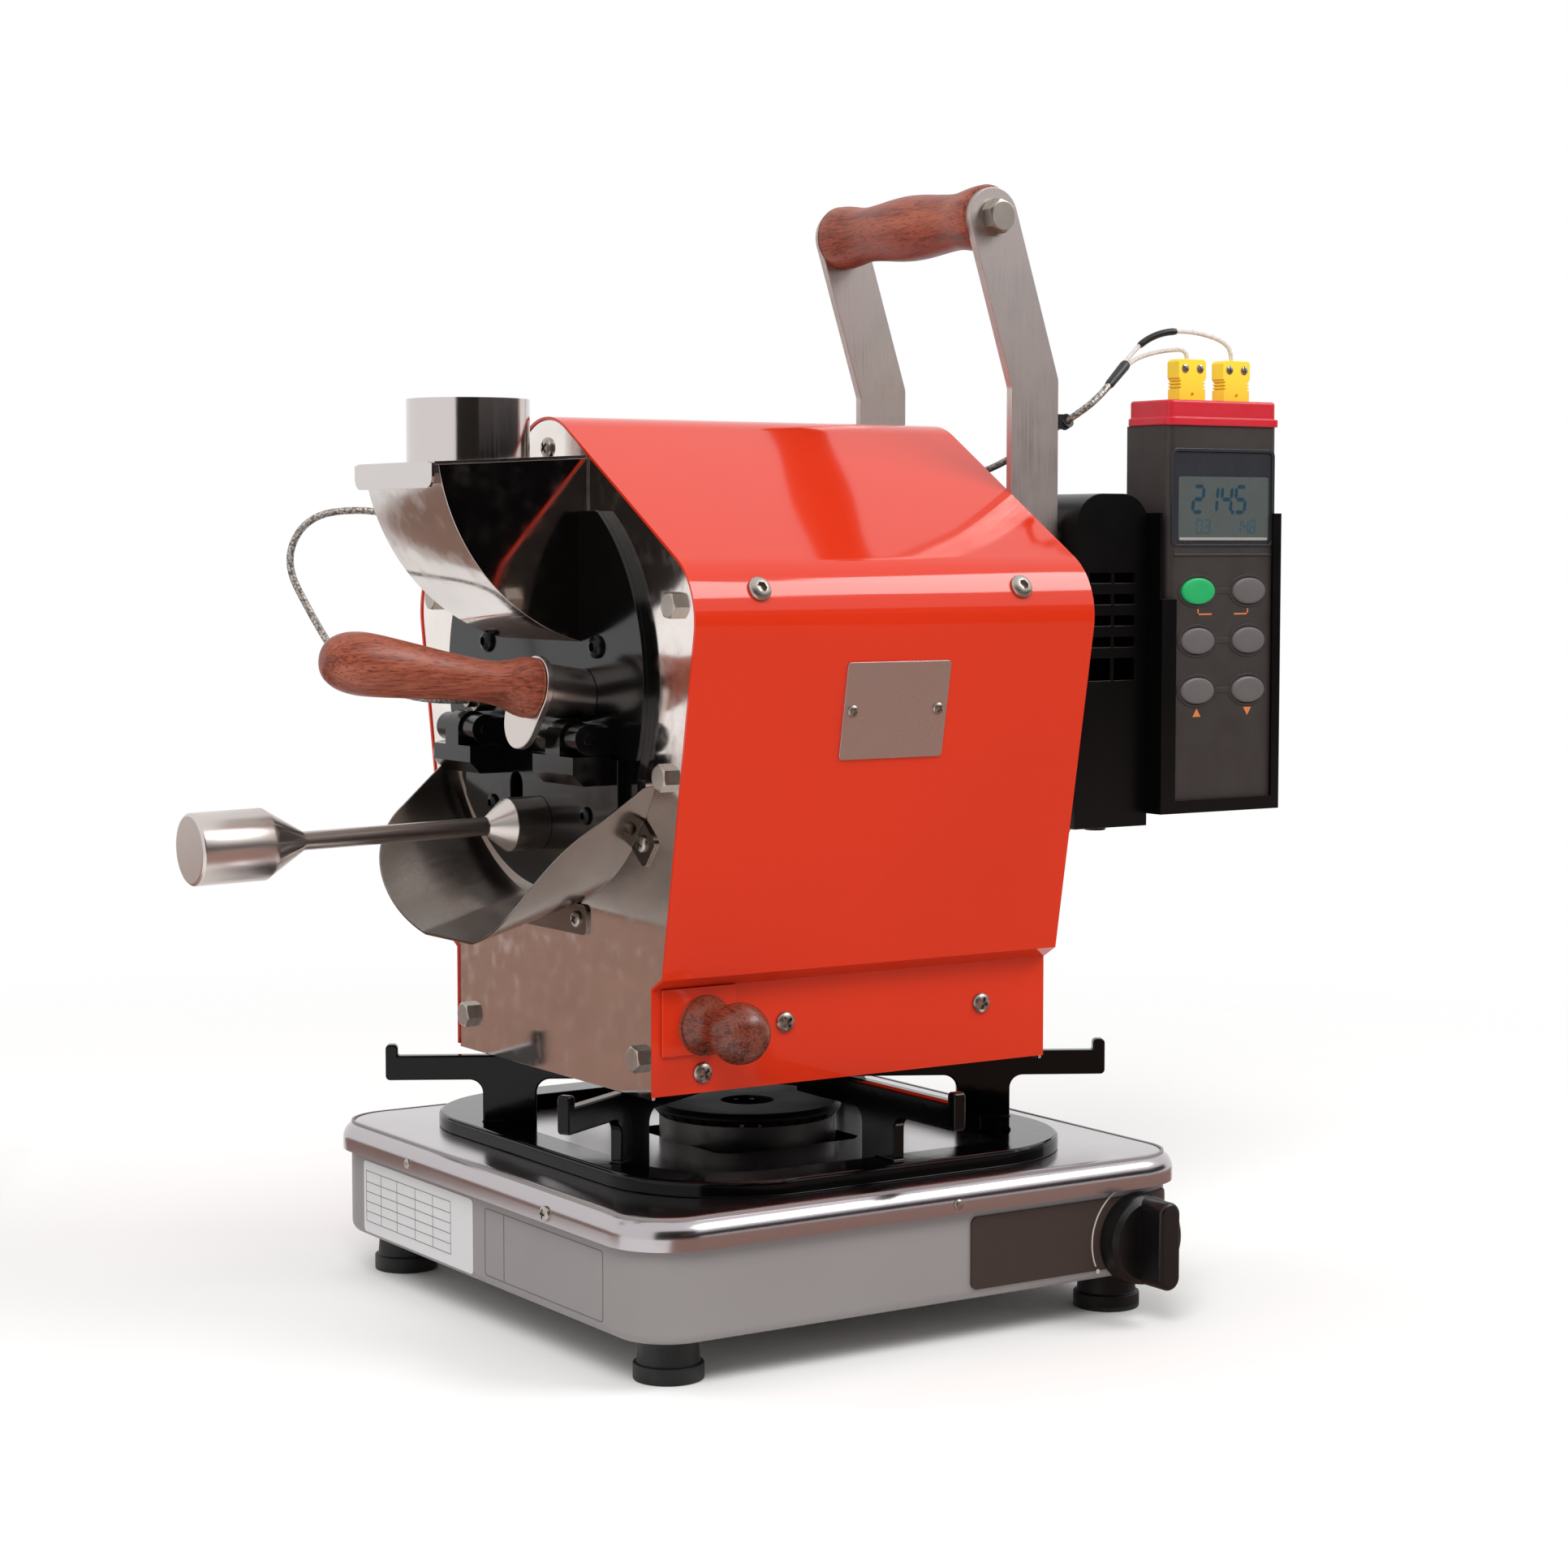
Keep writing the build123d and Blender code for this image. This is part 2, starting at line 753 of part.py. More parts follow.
def side_cover():
    shell = housing_face(low=cover_lift) - housing_face(inset=sheet)
    cover = slab_y(shell, -cover_lap, rear_face)
    cover -= slab_x(drawer_hole(), foot_half_width - 3, foot_half_width + 1)
    for seat, direction, height in cover_screw_places():
        cover -= drill(seat, direction, cover_screw_radius + fit_gap, 6)
    for seat, direction in side_screw_places():
        cover -= drill(seat, direction, side_screw_radius + fit_gap, 3)
    for place in name_screw_places():
        hole = Pos(0, 0, -6) * Cylinder(name_screw_radius + fit_gap, 8, align=centred)
        cover -= name_plate_plane() * place * hole
    return cover


def end_plate(y0, y1):
    plate = slab_y(housing_face(inset=sheet + plate_fit), y0, y1)
    for x, z, _ in front_bolts():
        plate -= rod((x, y0 - 1, z), (0, 1, 0), bolt_radius + fit_gap, plate_thick + 2)
    return plate


def mouth_face():
    """Opening that the roasted beans leave by, in (X, Z)."""
    ring = Pos(0, axis_z) * Circle(mouth_radius)
    return ring & area(-mouth_radius, mouth_radius, axis_z - mouth_radius, base_z + mouth_top)


def inlet_face():
    """Opening that the green beans enter by, in (X, Z)."""
    middle = base_z + (inlet_low + inlet_high) / 2
    return Pos(0, middle) * RectangleRounded(2 * inlet_half_width, inlet_high - inlet_low, 5)


def disc_screw_places():
    return [(-disc_screw_x, base_z + disc_screw_z), (disc_screw_x, base_z + disc_screw_z)]


def trier_direction():
    tilt = radians(trier_tilt)
    return Vector(0, -cos(tilt), sin(tilt))


def trier_origin():
    """Where the axis of the trier meets the face of the front disc."""
    return Vector(trier_x, disc_face, base_z + trier_z)


def pierce_front(shape):
    """Cut the holes that the front plate, its frame and its disc share."""
    shape -= slab_y(inlet_face(), disc_face - 1, plate_thick + 1)
    shape -= rod(trier_origin() + trier_direction() * 3, -trier_direction(), spoon_radius + 0.8, 16)
    shape -= rod((probe_x, disc_face - 1, base_z + probe_z), (0, 1, 0), probe_stem_radius + fit_gap, 8)
    for x, z in disc_screw_places():
        shape -= rod((x, disc_face - 1, z), (0, 1, 0), disc_screw_radius + fit_gap, 8)
    return shape


def chute_screw_places():
    """Centres (X, Z) of the screws that hold the chute on the front plate."""
    lean = radians(tab_lean)
    x = tab_radius * cos(lean)
    z = axis_z + tab_radius * sin(lean)
    return [(-x, z), (x, z), (-low_tab_screw_x, axis_z - low_tab_drop), (low_tab_screw_x, axis_z - low_tab_drop)]


def front_plate():
    plate = pierce_front(end_plate(0, plate_thick))
    plate -= slab_y(mouth_face(), -1, plate_thick + 1)
    for x, z in chute_screw_places():
        plate -= rod((x, -1, z), (0, 1, 0), tab_screw_radius + fit_gap, 4)
    plate -= rod((0, -1, base_z + ridge_screw_z), (0, 1, 0), side_screw_radius + fit_gap, 4)
    return plate


def rear_screw_places():
    """Centres (X, Z) of the bolts that hold the feet of the handle on the rear plate."""
    x = arm_face_x - arm_thick - foot_flange_width / 2
    z = base_z + arm_foot_z + foot_bolt_inset
    step = foot_flange_tall - 2 * foot_bolt_inset
    return [(side * x, z + k * step) for side in (-1, 1) for k in (0, 1)]


def rear_plate():
    plate = end_plate(rear_inside, rear_face)
    plate -= rod((0, rear_inside - 1, axis_z), (0, 1, 0), bearing_boss_radius + fit_gap, 5)
    for x, z in rear_screw_places():
        plate -= rod((x, rear_inside - 1, z), (0, 1, 0), bolt_radius + fit_gap, 5)
    return plate


def tie_rods():
    rods = []
    for x, z, radius in front_bolts():
        bar = rod((x, plate_thick, z), (0, 1, 0), radius, rear_inside - plate_thick)
        bar -= rod((x, plate_thick, z), (0, 1, 0), bolt_radius + fit_gap, bolt_depth)
        bar -= rod((x, rear_inside, z), (0, -1, 0), bolt_radius + fit_gap, bolt_depth)
        rods.append(bar)
    for seat, direction, height in cover_screw_places():
        for i, bar in enumerate(rods):
            if abs(bar.center().X - seat.X) < 20 and abs(bar.center().Z - seat.Z) < 20:
                rods[i] = bar - drill(seat, direction, cover_screw_radius + fit_gap, height + 2.6)
    return rods + box_spacers()


def plate_bolts():
    bolts = []
    for x, z, _ in front_bolts():
        bolts.append(hex_bolt((x, 0, z), (0, -1, 0), hex_flats, hex_height, bolt_radius, bolt_depth))
        bolts.append(hex_bolt((x, rear_face, z), (0, 1, 0), hex_flats, hex_height, bolt_radius, bolt_depth))
    return bolts + foot_bolts()


def cover_screws():
    screws = []
    for seat, direction, height in cover_screw_places():
        screws.append(pan_screw(seat, direction, cover_screw_head, cover_screw_radius, height + 2.5))
    for seat, direction in side_screw_places():
        screws.append(pan_screw(seat, direction, side_screw_head, side_screw_radius, sheet + rail_sheet))
    ridge = (0, 0, base_z + ridge_screw_z)
    screws.append(pan_screw(ridge, (0, -1, 0), ridge_screw_head, side_screw_radius, plate_thick + 1))
    return screws + name_screws() + chute_screws()


def side_rails():
    inner = foot_half_width - sheet
    step_y = drawer_y1 + drawer_margin
    outline = Polyline((plate_thick, base_z + rail_low), (rear_inside, base_z + rail_low),
                       (rear_inside, base_z + rail_high), (step_y, base_z + rail_high),
                       (step_y, base_z + rail_step), (plate_thick, base_z + rail_step), close=True)
    rail = slab_x(make_face(outline), inner - rail_sheet, inner)
    shelf_z = base_z + rail_high - rail_sheet
    rail += slab_z(area(inner - rail_shelf, inner, step_y, rear_inside), shelf_z, base_z + rail_high)
    for seat, direction in side_screw_places():
        if direction.X > 0:
            rail -= drill(seat, direction, side_screw_radius + fit_gap, 6)
    return mirrored(rail)


def heat_plate():
    half = foot_half_width - sheet - fit_gap
    y0 = drawer_y1 + drawer_margin
    z0 = base_z + rail_high
    plate = slab_z(area(-half, half, y0, rear_inside), z0, z0 + heat_plate_thick)
    slot = extrude(SlotOverall(heat_slot_length, heat_slot_width), amount=heat_plate_thick + 2)
    for column in (-1, 0, 1):
        for row in range(8):
            plate -= Pos(column * 46, y0 + 16 + row * 17.5, z0 - 1) * slot
    return plate


def name_plate():
    plate = extrude(RectangleRounded(name_plate_width, name_plate_tall, 1.5), amount=name_plate_thick)
    for place in name_screw_places():
        plate -= place * Cylinder(name_screw_radius + fit_gap, 4)
    return name_plate_plane() * plate


def name_screws():
    """The two small screws at the ends of the name plate."""
    screw = pan_screw((0, 0, 0), (0, 0, 1), name_screw_head, name_screw_radius, name_plate_thick + sheet)
    return [name_plate_plane() * place * screw for place in name_screw_places()]


# ---------------------------------------------------------------- front disc and door
def door_frame():
    disc = Pos(0, axis_z) * Circle(disc_radius)
    upper = disc & area(-disc_radius, disc_radius, base_z + frame_lip, base_z + disc_flat)
    lower = Pos(0, axis_z) * Circle(frame_radius)
    lower &= area(-frame_half_width, frame_half_width, axis_z - frame_radius, base_z + frame_lip + 1)
    frame = pierce_front(slab_y(upper + lower, -disc_layer, 0))
    return frame - slab_y(mouth_face(), -disc_layer - 1, 1)


def front_disc():
    disc = Pos(0, axis_z) * Circle(disc_radius)
    disc &= area(-disc_radius, disc_radius, base_z + disc_low, base_z + disc_flat)
    plate = pierce_front(slab_y(disc, disc_face, -disc_layer))
    return plate


def disc_screws():
    depth = -disc_face + plate_thick + 3
    return [pan_screw((x, disc_face, z), (0, -1, 0), disc_screw_head, disc_screw_radius, depth)
            for x, z in disc_screw_places()]


def pin_z():
    return base_z + hinge_z


def hinge_fixed():
    leaf_low = pin_z() - 5
    hinges = []
    leaf = area(disc_face - hinge_leaf, disc_face, leaf_low, leaf_low + hinge_leaf_tall)
    lug = Pos(hinge_y, pin_z()) * Circle(hinge_barrel)
    lug += area(hinge_y, disc_face, pin_z() - hinge_barrel, pin_z() + hinge_arm_rise)
    inside = hinge_middle / 2 + slide_gap
    outside = hinge_width / 2
    for side in (-1, 1):
        middle = side * hinge_x
        block = slab_x(leaf, middle - outside, middle + outside)
        for off in (-1, 1):
            edges = sorted((middle + off * inside, middle + off * outside))
            block += slab_x(lug, edges[0], edges[1])
        block -= rod((middle - outside - 1, hinge_y, pin_z()), (1, 0, 0), hinge_pin_radius + fit_gap, 2 * outside + 2)
        hinges.append(block)
        start = (middle - outside - pin_proud, hinge_y, pin_z())
        hinges.append(rod(start, (1, 0, 0), hinge_pin_radius, hinge_width + 2 * pin_proud))
    return hinges


def hinge_moving():
    face_y = hinge_y - hinge_knuckle
    top = base_z + hinge_base_top
    low = base_z + hinge_base_low
    base = make_face(Polyline((door_face, top), (face_y, top), (face_y, low + hinge_bevel),
                              (face_y + hinge_bevel, low), (door_face, low), close=True))
    knuckle = Pos(hinge_y, pin_z()) * Circle(hinge_knuckle)
    arm = area(face_y, hinge_y + 3, top - 1, pin_z())
    hinges = []
    for side in (-1, 1):
        middle = side * hinge_x
        block = slab_x(base, middle - hinge_width / 2, middle + hinge_width / 2)
        block += slab_x(knuckle + arm, middle - hinge_middle / 2, middle + hinge_middle / 2)
        block -= rod((middle - 20, hinge_y, pin_z()), (1, 0, 0), hinge_pin_radius + fit_gap, 40)
        hinges.append(block)
    return hinges


def door_plate():
    face = Pos(0, axis_z) * Circle(disc_radius)
    face &= area(-door_half_width, door_half_width, axis_z - disc_radius, base_z + disc_low - door_gap)
    face -= Pos(sight_x, base_z + sight_z) * SlotOverall(sight_height, sight_width, rotation=90)
    plate = slab_y(face, door_face, -disc_layer)
    for x, z in door_screw_places():
        plate -= rod((x, door_face - 1, z), (0, 1, 0), door_screw_radius + fit_gap, door_thick)
    return plate


def door_screw_places():
    return [(-door_screw_x, base_z + door_screw_z), (door_screw_x, base_z + door_screw_z)]


def door_screws():
    return [pan_screw((x, door_face, z), (0, -1, 0), door_screw_head, door_screw_radius, door_thick - 1.2)
            for x, z in door_screw_places()]


def lever():
    ends = [lever_base_length, lever_cone_length, lever_rod_length, weight_cone_length, weight_length]
    base_end, cone_end, rod_end, weight_start, weight_end = [sum(ends[:i + 1]) for i in range(len(ends))]
    outline = Polyline((0, -2), (lever_base_radius, -2), (lever_base_radius, base_end), (lever_rod_radius, cone_end),
                       (lever_rod_radius, rod_end), (weight_radius, weight_start),
                       (weight_radius, weight_end - weight_chamfer), (weight_radius - weight_chamfer, weight_end),
                       (0, weight_end), (0, -2))
    droop = radians(lever_droop)
    shape = turned(outline, (0, door_face, base_z + lever_z), (0, -cos(droop), -sin(droop)))
    behind = Box(60, 20, 60, align=(Align.CENTER, Align.MIN, Align.CENTER))
    return shape - Pos(0, door_face, base_z + lever_z) * behind


# ---------------------------------------------------------------- trier and probe
def trier_bush():
    bush = rod(trier_origin() - trier_direction() * 4, trier_direction(), bush_radius, bush_length + 4)
    bush -= rod(trier_origin() - trier_direction() * 9, trier_direction(), spoon_radius + fit_gap, bush_length + 20)
    behind = Box(60, 20, 60, align=(Align.CENTER, Align.MIN, Align.CENTER))
    return bush - Pos(trier_x, disc_face, base_z + trier_z) * behind


def trier_frame():
    """A frame at the outer end of the bush: Z outwards along the trier, X along +X."""
    return Plane(origin=trier_origin() + trier_direction() * bush_length, x_dir=(1, 0, 0), z_dir=trier_direction())


def trier_spoon():
    flange = SlotCenterToCenter(flange_reach, 2 * flange_radius, rotation=flange_lean)
    lean = radians(flange_lean)
    shift = flange_reach / 2
    plate = extrude(Pos(shift * cos(lean), shift * sin(lean)) * flange, amount=flange_thick)
    stem = Pos(0, 0, -spoon_length) * Cylinder(spoon_radius, spoon_length, align=centred)
    bore = Pos(0, 0, -spoon_length + 3) * Cylinder(spoon_radius - spoon_wall, spoon_open_length, align=centred)
    mouth = Box(2 * spoon_radius + 2, 2 * spoon_radius, spoon_open_length,
                align=(Align.CENTER, Align.MIN, Align.MIN))
    stem = stem - bore - Pos(0, 0, -spoon_length + 3) * mouth
    return trier_frame() * (plate + stem)


def trier_handle():
    end = flange_thick + grip_length
    side = Spline((grip_flare, flange_thick + 4), (grip_waist, flange_thick + 0.27 * grip_length),
                  (grip_belly, flange_thick + 0.78 * grip_length), (0, end),
                  tangents=[(0, 1), (-1, 0)])
    foot = Polyline((0, end), (0, flange_thick), (grip_flare, flange_thick), (grip_flare, flange_thick + 4))
    return trier_frame() * revolve(Plane.XZ * make_face(side + foot), axis=Axis.Z)


def probe_fitting():
    place = aim((probe_x, disc_face, base_z + probe_z), (0, -1, 0))
    nut = extrude(RegularPolygon(probe_nut_flats / 2, 6, major_radius=False), amount=probe_nut_length)
    collar = Pos(0, 0, probe_nut_length) * Cylinder(probe_collar_radius, probe_collar_length, align=centred)
    stem = Pos(0, 0, -probe_stem_length) * Cylinder(probe_stem_radius, probe_stem_length, align=centred)
    return place * (nut + collar + stem)


# ---------------------------------------------------------------- hopper
def hopper_disc(radius):
    return Pos(hopper_curve_y, base_z + hopper_curve_z) * Circle(radius)


def lid_line_z(y):
    """Height of the top of the lid above a point of the hopper."""
    return base_z + lid_rear_z + (lid_rear_z - lid_front_z) * y / (-lid_front_y)


def hopper():
    under = lid_sheet
    rear = -slide_gap
    outline = Polyline((disc_face, base_z + 150), (disc_face, base_z + disc_flat), (rear, base_z + disc_flat),
                       (rear, lid_line_z(rear) - under), (-90, lid_line_z(-90) - under), (-90, base_z + 150),
                       close=True)
    side = make_face(outline) & hopper_disc(hopper_curve)
    shape = slab_x(side, -hopper_half_width, hopper_half_width)
    inner = hopper_half_width - hopper_sheet
    return shape - slab_x(hopper_disc(hopper_curve - hopper_sheet), -inner, inner)


def hopper_lid():
    half = hopper_half_width + lid_side_lap
    front = lid_front_y
    rear = -cover_lap - slide_gap
    outline = Polyline((rear, lid_line_z(rear)), (front, lid_line_z(front)), (front, lid_line_z(front) - lid_sheet),
                       (rear, lid_line_z(rear) - lid_sheet), close=True)
    lid = slab_x(make_face(outline), -half, half)
    lip_tall = lid_line_z(front) - base_z - lid_lip_low
    lip = Pos(0, base_z + lid_lip_low + lip_tall / 2) * RectangleRounded(2 * half, lip_tall, lid_lip_round)
    square = area(-half, half, lid_line_z(front) - lid_lip_round, lid_line_z(front) - lid_sheet / 2)
    lip = slab_y(lip + square, front - lid_sheet, front)
    lip &= slab_x(area(front - 3, front + 1, 0, lid_line_z(front)), -half, half)
    pipe = Pos(0, pipe_y, base_z) * Cylinder(pipe_radius, pipe_top, align=centred)
    under = Polyline((-120, lid_line_z(-120) - lid_sheet), (30, lid_line_z(30) - lid_sheet), (30, base_z - 10),
                     (-120, base_z - 10), close=True)
    pipe -= slab_x(make_face(under), -60, 60)
    bore = Pos(0, pipe_y, base_z) * Cylinder(pipe_radius - pipe_wall, pipe_top + 5, align=centred)
    return lid + lip + pipe - bore


# ---------------------------------------------------------------- chute
def chute_face(radius, flat):
    ring = Pos(0, axis_z) * Circle(radius)
    return ring & area(-radius, radius, flat, axis_z - chute_tip_drop + 12)


def chute():
    outer = chute_face(chute_radius + chute_sheet, axis_z - chute_flat_drop - chute_sheet)
    inner = chute_face(chute_radius, axis_z - chute_flat_drop)
    fall = Vector(0, -1, -chute_fall)
    length = -1.5 * chute_lip_y * fall.length
    wall = extrude(Plane.XZ * (outer - inner), amount=length, dir=fall)
    high, tip, mid = (0, axis_z - chute_tip_drop + 1), (chute_tip_y, axis_z - chute_tip_drop), (
        chute_mid_y, axis_z - chute_mid_drop)
    lip, end = (chute_lip_y, axis_z - chute_lip_drop), axis_z - chute_lip_drop - 20
    rim = Line(high, tip) + Line(tip, mid) + ThreePointArc(mid, (chute_bow_y, axis_z - chute_bow_drop), lip)
    rim += Polyline(lip, (chute_lip_y, end), (0, end), high)
    wide = chute_radius + chute_sheet + 1
    wall &= slab_x(make_face(rim), -wide, wide)
    lean = radians(tab_lean)
    tab = Pos(tab_radius * cos(lean), axis_z + tab_radius * sin(lean)) * Rot(0, 0, tab_lean)
    tab = tab * RectangleRounded(tab_length, tab_width, tab_round)
    low_tab = Pos(0, axis_z - low_tab_drop) * RectangleRounded(low_tab_width, low_tab_tall, tab_round)
    tabs = tab + mirror(tab, about=Plane.YZ) + low_tab - outer
    shape = wall + slab_y(tabs, -tab_sheet, 0)
    for x, z in chute_screw_places():
        shape -= rod((x, -tab_sheet - 1, z), (0, 1, 0), tab_screw_radius + fit_gap, tab_sheet + 2)
    return shape


def chute_screws():
    """The screws in the tabs of the chute."""
    return [pan_screw((x, -tab_sheet, z), (0, -1, 0), tab_screw_head, tab_screw_radius, tab_sheet + plate_thick)
            for x, z in chute_screw_places()]


# ---------------------------------------------------------------- chaff drawer
def tray_floor_z():
    return base_z + drawer_z0 + drawer_margin + guide_sheet + slide_gap + 6


def drawer_tray():
    front = slab_x(area(drawer_y0, drawer_y1, base_z + drawer_z0, base_z + drawer_z1),
                   foot_half_width + slide_gap, foot_half_width + slide_gap + sheet)
    y0 = drawer_y0 + drawer_margin + guide_sheet + slide_gap
    y1 = drawer_y1 - drawer_margin - guide_sheet - slide_gap
    x1 = foot_half_width + slide_gap
    z0 = tray_floor_z()
    tray = slab_z(area(x1 - drawer_length, x1, y0, y1), z0, z0 + drawer_wall_tall)
    hollow = area(x1 - drawer_length + drawer_sheet, x1 - drawer_sheet, y0 + drawer_sheet, y1 - drawer_sheet)
    tray -= slab_z(hollow, z0 + drawer_sheet, z0 + drawer_wall_tall + 1)
    return tray + front


def drawer_guide():
    y0 = drawer_y0 + drawer_margin
    y1 = drawer_y1 - drawer_margin
    top = tray_floor_z() - fit_gap
    outer = area(y0, y1, top - guide_sheet, top + guide_wall_tall)
    inner = area(y0 + guide_sheet, y1 - guide_sheet, top, top + guide_wall_tall + 1)
    half = foot_half_width - sheet
    return slab_x(outer - inner, -half, half)


def drawer_knob():
    reach = drawer_knob_reach
    side = Spline((drawer_knob_base, 2.5), (drawer_knob_neck, 11), (drawer_knob_ball, reach),
                  (0, reach + drawer_knob_ball), tangents=[(-0.4, 1), (-1, 0)])
    foot = Polyline((0, reach + drawer_knob_ball), (0, 0), (drawer_knob_base, 0), (drawer_knob_base, 2.5))
    place = (foot_half_width + slide_gap + sheet, drawer_knob_y, base_z + drawer_knob_z)
    return turned(side + foot, place, (1, 0, 0))


# ---------------------------------------------------------------- drum
def drum():
    tube = rod((0, drum_front, axis_z), (0, 1, 0), drum_radius, drum_length)
    inner_radius = drum_radius - drum_sheet
    tube -= rod((0, drum_front - 1, axis_z), (0, 1, 0), inner_radius, drum_length - drum_sheet + 1)
    back = drum_front + drum_length
    tube += rod((0, back - drum_sheet, axis_z), (0, -1, 0), hub_radius, hub_length)
    section = Pos(inner_radius - vane_height / 2 + 0.3, 0) * Rectangle(vane_height, vane_thick)
    length = drum_length - drum_sheet - 4
    vane = Solid.extrude_linear_with_rotation(section.faces()[0], (0, 0, 0), (0, 0, length), vane_twist)
    place = Plane(origin=(0, drum_front + 4, axis_z), x_dir=(1, 0, 0), z_dir=(0, 1, 0))
    for i in range(drum_vanes):
        tube += place * Rot(0, 0, i * 360 / drum_vanes) * vane
    start = back - drum_sheet - hub_length
    return tube + rod((0, start, axis_z), (0, 1, 0), shaft_radius, shaft_end_y() - start)


def shaft_end_y():
    return box_y0 + box_sheet + gearbox_depth - 5


def rear_bearing():
    place = aim((0, rear_face, axis_z), (0, 1, 0))
    flange = Cylinder(bearing_radius, bearing_thick, align=centred)
    boss = Cylinder(bearing_boss_radius, bearing_boss_length, align=centred)
    spigot = Pos(0, 0, -plate_thick) * Cylinder(bearing_boss_radius, plate_thick, align=centred)
    bore = Pos(0, 0, -5) * Cylinder(shaft_radius + fit_gap, bearing_boss_length + 10, align=centred)
    body = flange + boss + spigot - bore
    for i in range(4):
        screw = pan_screw((0, 0, 0), (0, 0, 1), small_screw_head, small_screw_radius, 1)
        body += Rot(0, 0, 45 + 90 * i) * Pos(bearing_screw_circle + 1, 0, bearing_thick) * screw
    return place * body


# ---------------------------------------------------------------- carry handle
def arm_outline():
    """The strip of one arm in (Y, Z): upright behind the housing, then bent forward to the grip."""
    half = arm_strip / 2
    middle_y = rear_face + half
    lean = atan2(middle_y - arm_end_y, arm_end_z - arm_bend_z)
    mitre = half * tan(lean / 2)
    bend_z = base_z + arm_bend_z
    end = Vector(arm_end_y, base_z + arm_end_z)
    across = Vector(cos(lean), sin(lean)) * half
    outline = Polyline((middle_y - half, base_z + arm_foot_z), (middle_y - half, bend_z - mitre),
                       (end.X - across.X, end.Y - across.Y), (end.X + across.X, end.Y + across.Y),
                       (middle_y + half, bend_z + mitre), (middle_y + half, base_z + arm_foot_z), close=True)
    face = make_face(outline)
    bends = [v for v in face.vertices() if abs(v.Y - bend_z) < 10]
    face = fillet(bends, radius=arm_bend_round)
    return face + Pos(end.X, end.Y) * Circle(half)


def handle_arms():
    inner = arm_face_x - arm_thick
    arm = slab_x(arm_outline(), inner, arm_face_x)
    foot = area(inner - foot_flange_width, inner + 1, base_z + arm_foot_z, base_z + arm_foot_z + foot_flange_tall)
    arm += slab_y(foot, rear_face, rear_face + arm_thick)
    hole = rod((inner - 1, arm_end_y, base_z + arm_end_z), (1, 0, 0), handle_bolt_radius + fit_gap, arm_thick + 2)
    arm -= hole
    for x, z in rear_screw_places():
        arm -= rod((x, rear_face - 1, z), (0, 1, 0), bolt_radius + fit_gap, arm_thick + 2)
    return mirrored(arm)


def handle_grip():
    half = arm_face_x - arm_thick
    side = Spline((grip_end_radius, 3), (grip_neck_radius, 0.32 * half), (grip_middle_radius, half),
                  (grip_neck_radius, 1.68 * half), (grip_end_radius, 2 * half - 3), tangents=[(0, 1), (0, 1)])
    ends = Polyline((grip_end_radius, 2 * half - 3), (grip_end_radius - 2, 2 * half), (0, 2 * half), (0, 0),
                    (grip_end_radius - 2, 0), (grip_end_radius, 3))
    grip = turned(side + ends, (-half, arm_end_y, base_z + arm_end_z), (1, 0, 0))
    for side_sign in (-1, 1):
        start = (side_sign * half, arm_end_y, base_z + arm_end_z)
        grip -= drill(start, (side_sign, 0, 0), handle_bolt_radius + fit_gap, handle_bolt_depth)
    return grip


def handle_bolts():
    bolts = []
    for side in (-1, 1):
        start = (side * (arm_face_x + washer_thick), arm_end_y, base_z + arm_end_z)
        depth = washer_thick + arm_thick + handle_bolt_depth - 2
        bolt = hex_bolt(start, (side, 0, 0), handle_hex_flats, handle_hex_height, handle_bolt_radius, depth)
        bolts.append(bolt + rod(start, (-side, 0, 0), washer_radius, washer_thick))
    return bolts


def foot_bolts():
    """The bolts through the feet of the carry handle."""
    return [hex_bolt((x, rear_face + arm_thick, z), (0, 1, 0), hex_flats, hex_height, bolt_radius,
                     arm_thick + plate_thick + 3) for x, z in rear_screw_places()]


# ---------------------------------------------------------------- motor box
def box_outline(inset):
    """The rounded side of the motor box in (Y, Z)."""
    y0, y1 = box_y0 + inset, box_y1 - inset
    low, high = axis_z - box_drop, axis_z + box_rise - inset
    face = area(y0, y1, low, high)
    return fillet([v for v in face.vertices() if v.Y > high - 1], radius=box_round - inset)


def spacer_places():
    return [(side * spacer_x, axis_z + z) for side in (-1, 1) for z in (-spacer_drop, spacer_rise)]


def vent_cuts():
    """The rows of vents in each side of the box, with a rib across them; the lowest row is taller."""
    rows = []
    middle = (vent_y0 + vent_y1) / 2
    for row in range(vent_rows):
        tall = vent_tall if row == vent_rows - 1 else vent_height
        high = axis_z + vent_rise - row * vent_pitch
        low = high - tall
        rows.append(area(box_y0 + vent_y0, box_y0 + middle - vent_rib / 2, low, high))
        rows.append(area(box_y0 + middle + vent_rib / 2, box_y0 + vent_y1, low, high))
    return rows


def motor_box():
    inner_x = box_half_width - box_sheet
    box = slab_x(box_outline(0), -box_half_width, box_half_width) - slab_x(box_outline(box_sheet), -inner_x, inner_x)
    for cut in vent_cuts():
        box -= slab_x(cut, -box_half_width - 1, box_half_width + 1)
    box -= rod((0, box_y0 - 1, axis_z), (0, 1, 0), shaft_radius + 3, box_sheet + 2)
    return box


def box_floor():
    inset = box_sheet + fit_gap
    y0, y1 = box_y0 + inset, box_y1 - inset
    half = box_half_width - inset
    low = axis_z - box_drop
    return [slab_z(area(-half, half, y0, y1), low, low + box_sheet)] + box_pads()


